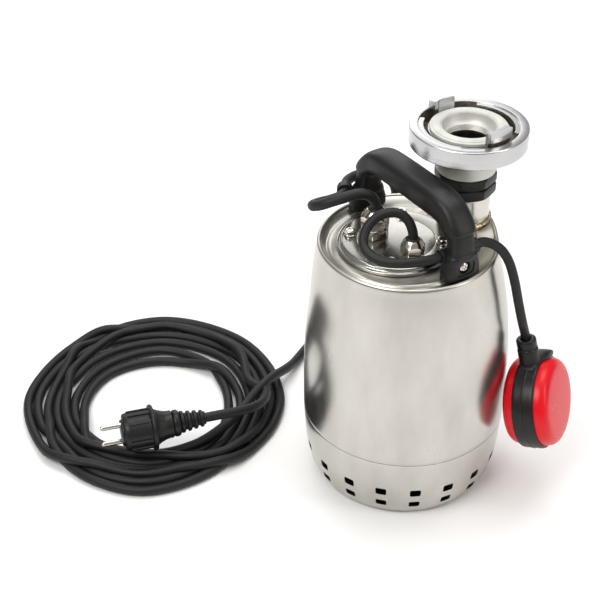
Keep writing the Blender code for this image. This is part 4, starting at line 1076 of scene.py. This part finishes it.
def sleeves():
    """The moulded clamp on the front foot and the eyelet on the rear leg."""
    outline = [(0.0042, 0), (0.0060, 0), (0.0063, 0.0004), (0.0063, CLAMP_LENGTH - 0.0004),
               (0.0060, CLAMP_LENGTH), (0.0042, CLAMP_LENGTH)]
    clamp = lathe("clamp_sleeve", outline, 64, "handle", 0.0002, ring=True,
                  matrix=frame_at(CLAMP_IN, CLAMP_DIR))
    fit(clamp, "pump", "cable_clamp")
    outline = [(0.0047, -0.0040), (0.0064, -0.0040), (0.0068, -0.0034), (0.0068, 0.0034),
               (0.0064, 0.0040), (0.0047, 0.0040)]
    eyelet = lathe("eyelet_ring", outline, 64, "handle", 0.0004, ring=True,
                   matrix=frame_at(EYELET, Vector((0.02, 1.0, -0.03)).normalized()))
    fit(eyelet, "pump", "cable_eyelet")


# ---------------------------------------------------------------- float
def float_shells():
    """Two hollow dished shells, back to back."""
    inside = [(0.0, 0.0198), (0.0290, 0.0190), (0.0340, 0.0170), (0.0366, 0.0120),
              (0.0370, 0.0003)]
    outside = [(0.0388, 0.0003), (0.0390, 0.0030), (0.0390, 0.0080), (0.0388, 0.0118),
               (0.0380, 0.0152), (0.0362, 0.0180), (0.0335, 0.0198), (0.0300, 0.0207),
               (0.0220, 0.0211), (0.0150, 0.0213), (0.0080, FLOAT_TOP)]
    outline = [*inside, *curve_through(outside, 3), (0.0, FLOAT_TOP)]
    for axis, node in ((FLOAT_AXIS, "float_shell_outer"), (-FLOAT_AXIS, "float_shell_inner")):
        shell = lathe(node + "_looks", outline, 160, "red", matrix=frame_at(FLOAT_C, axis))
        fit(shell, "float", node, angle=50.0)


def float_band():
    """Belt with a parting line round the middle."""
    half = [(FLOAT_R + 0.0004, 0.0005), (FLOAT_R, 0.0010), (FLOAT_R, 0.0070), (0.0412, 0.0088),
            (0.0405, BAND_HALF), (0.0391, BAND_HALF)]
    outline = [(r, -z) for r, z in reversed(half)] + half
    band = lathe("float_belt", outline, 160, "black", 0.0004, ring=True,
                 matrix=frame_at(FLOAT_C, FLOAT_AXIS))
    fit(band, "float", "float_band")


def float_sleeve():
    """Ribbed neck that grips the cable."""
    neck = [(0.0042, 0.0400), (0.0093, 0.0400), (0.0092, 0.0450), (0.0090, 0.0548),
            (0.0086, 0.0558), (0.0080, 0.0562), (0.0080, 0.0574), (0.0086, 0.0580),
            (0.0087, 0.0638), (0.0080, 0.0651), (0.0070, 0.0656), (0.0052, 0.0656),
            (0.0042, 0.0650)]
    sleeve = lathe("float_neck", neck, 96, "black", 0.0004, ring=True,
                   matrix=frame_at(FLOAT_C, FLOAT_UP))
    fit(sleeve, "float", "float_sleeve", angle=50.0)


def float_saddle():
    """Raised block on the band, under the neck."""
    side = FLOAT_UP.cross(FLOAT_AXIS).normalized()
    low = 0.0330
    rings = []
    for along, height, wide in ((-0.0128, 0.0380, 0.0040), (-0.0105, 0.0412, 0.0070),
                                (-0.0050, 0.0436, 0.0086), (0.0030, 0.0446, 0.0094),
                                (0.0110, 0.0440, 0.0100), (0.0190, 0.0416, 0.0104),
                                (0.0250, 0.0380, 0.0096), (0.0272, 0.0350, 0.0060)):
        base = FLOAT_C + side * along + FLOAT_AXIS * 0.0030 * blend_step(along, 0.0, 0.0120)
        base += FLOAT_UP * (height + low) / 2
        rings.append([base + FLOAT_AXIS * (c * wide) + FLOAT_UP * (s * (height - low) / 2)
                      for c, s in blunt_circle(32, 0.5)])
    fit(make("float_saddle", loft(curve_through(rings, 4)), "black"), "float", angle=45.0)


# ---------------------------------------------------------------- carried-over inner works
CARRIED = {
    # the housings take the near-black stainless, which is painted shade inside the barrel
    "inner": ("pump_housing", "motor_housing"),
    "seal": ("cover_seal", "check_valve_disc"),
    "iron": ("stator_core", "rotor_core"),
    "copper": ("lower_winding", "upper_winding"),
    "white": ("run_capacitor",),
    "cast": ("lower_bearing_bracket", "upper_bearing_bracket"),
    "steel": ("lower_bearing_inner_ring", "lower_bearing_outer_ring", "lower_bearing_cage",
              "upper_bearing_inner_ring", "upper_bearing_outer_ring", "upper_bearing_cage",
              "motor_shaft", "shaft_seal_spring", "impeller_nut", "float_ball"),
    "graphite": ("shaft_seal_seat", "shaft_seal_head"),
    "black": ("impeller", "check_valve_seat", "float_switch_unit"),
}


def carry_over():
    """Nodes inside the pump keep their CAD shape and get a material here."""
    for mat, names in CARRIED.items():
        for name in names:
            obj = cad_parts[name]
            obj.data.materials.clear()
            obj.data.materials.append(MAT[mat])


# ---------------------------------------------------------------- room
def room():
    """White floor, a grey sky that is darkest near the horizon, and four area lights."""
    world = bpy.data.worlds.new("studio")
    bpy.context.scene.world = world
    g = Graph(world, "Background")
    split = g.node("ShaderNodeSeparateXYZ")
    g.link(g.node("ShaderNodeTexCoord").outputs["Generated"], split.inputs[0])
    height = g.maths("ADD", g.maths("MULTIPLY", split.outputs["Z"], 0.5), 0.5)
    greys = ((0.0, 0.90), (0.46, 0.62), (0.56, 0.30), (0.80, 0.40), (1.0, 0.80))
    stops = [(place, (grey, grey * 0.985, grey * 0.96)) for place, grey in greys]
    g.link(g.ramp(height, stops), g.shader.inputs["Color"])
    g.set("Strength", 0.95)
    make("floor", prism(rounded_box(3.0, 3.0, 0.5), -0.0060, -0.0004), "floor")
    for name, place, target, size, power, colour in (
            ("key", (-0.75, -0.75, 1.35), (0.0, 0.0, 0.15), (0.9, 0.7), 13.0, (1.0, 0.98, 0.95)),
            ("fill", (1.15, -0.55, 0.85), (0.0, 0.0, 0.15), (0.35, 1.1), 5.0, (1.0, 0.97, 0.93)),
            ("top", (0.1, 0.35, 1.6), (0.0, 0.0, 0.2), (1.3, 0.8), 12.0, (1.0, 1.0, 1.0)),
            ("back", (-0.3, 1.3, 0.8), (0.0, 0.0, 0.2), (1.2, 0.6), 5.0, (1.0, 1.0, 1.0))):
        light = bpy.data.lights.new(name, "AREA")
        light.shape = "RECTANGLE"
        light.size, light.size_y = size
        light.energy = power
        light.color = colour
        obj = bpy.data.objects.new(name, light)
        bpy.context.scene.collection.objects.link(obj)
        obj.location = place
        obj.rotation_euler = (Vector(target) - Vector(place)).to_track_quat("-Z", "Y").to_euler()


def main():
    camera()
    lead, lead_length = mains_lead()
    plug_pieces = plug()
    float_lead()
    jacket()
    strainer()
    motor_cover()
    cover_bolts()
    gland("float_gland", FLOAT_GLAND, 0.0106, (0.2458, 0.2500, 0.2625), 0.0045, 20.0,
          ("float_gland_body", "float_gland_nut"))
    gland("mains_gland", MAINS_GLAND, 0.0126, (0.2458, 0.2546, 0.2700), 0.0050, 20.0,
          ("mains_gland_body", "mains_gland_nut"))
    socket()
    collar("adapter_collar", SOCKET_TOP + GAP, ADAPTER_TOP, (0.0235, 0.2790, NECK_TOP),
           "discharge_adapter")
    collar("nut_collar", NECK_TOP + GAP, NUT_TOP, (0.0200, 0.2880, 0.3170), "adapter_nut")
    coupling()
    gasket()
    bore_liner()
    handle()
    handle_screws()
    sleeves()
    float_shells()
    float_band()
    float_sleeve()
    float_saddle()
    carry_over()
    room()


main()
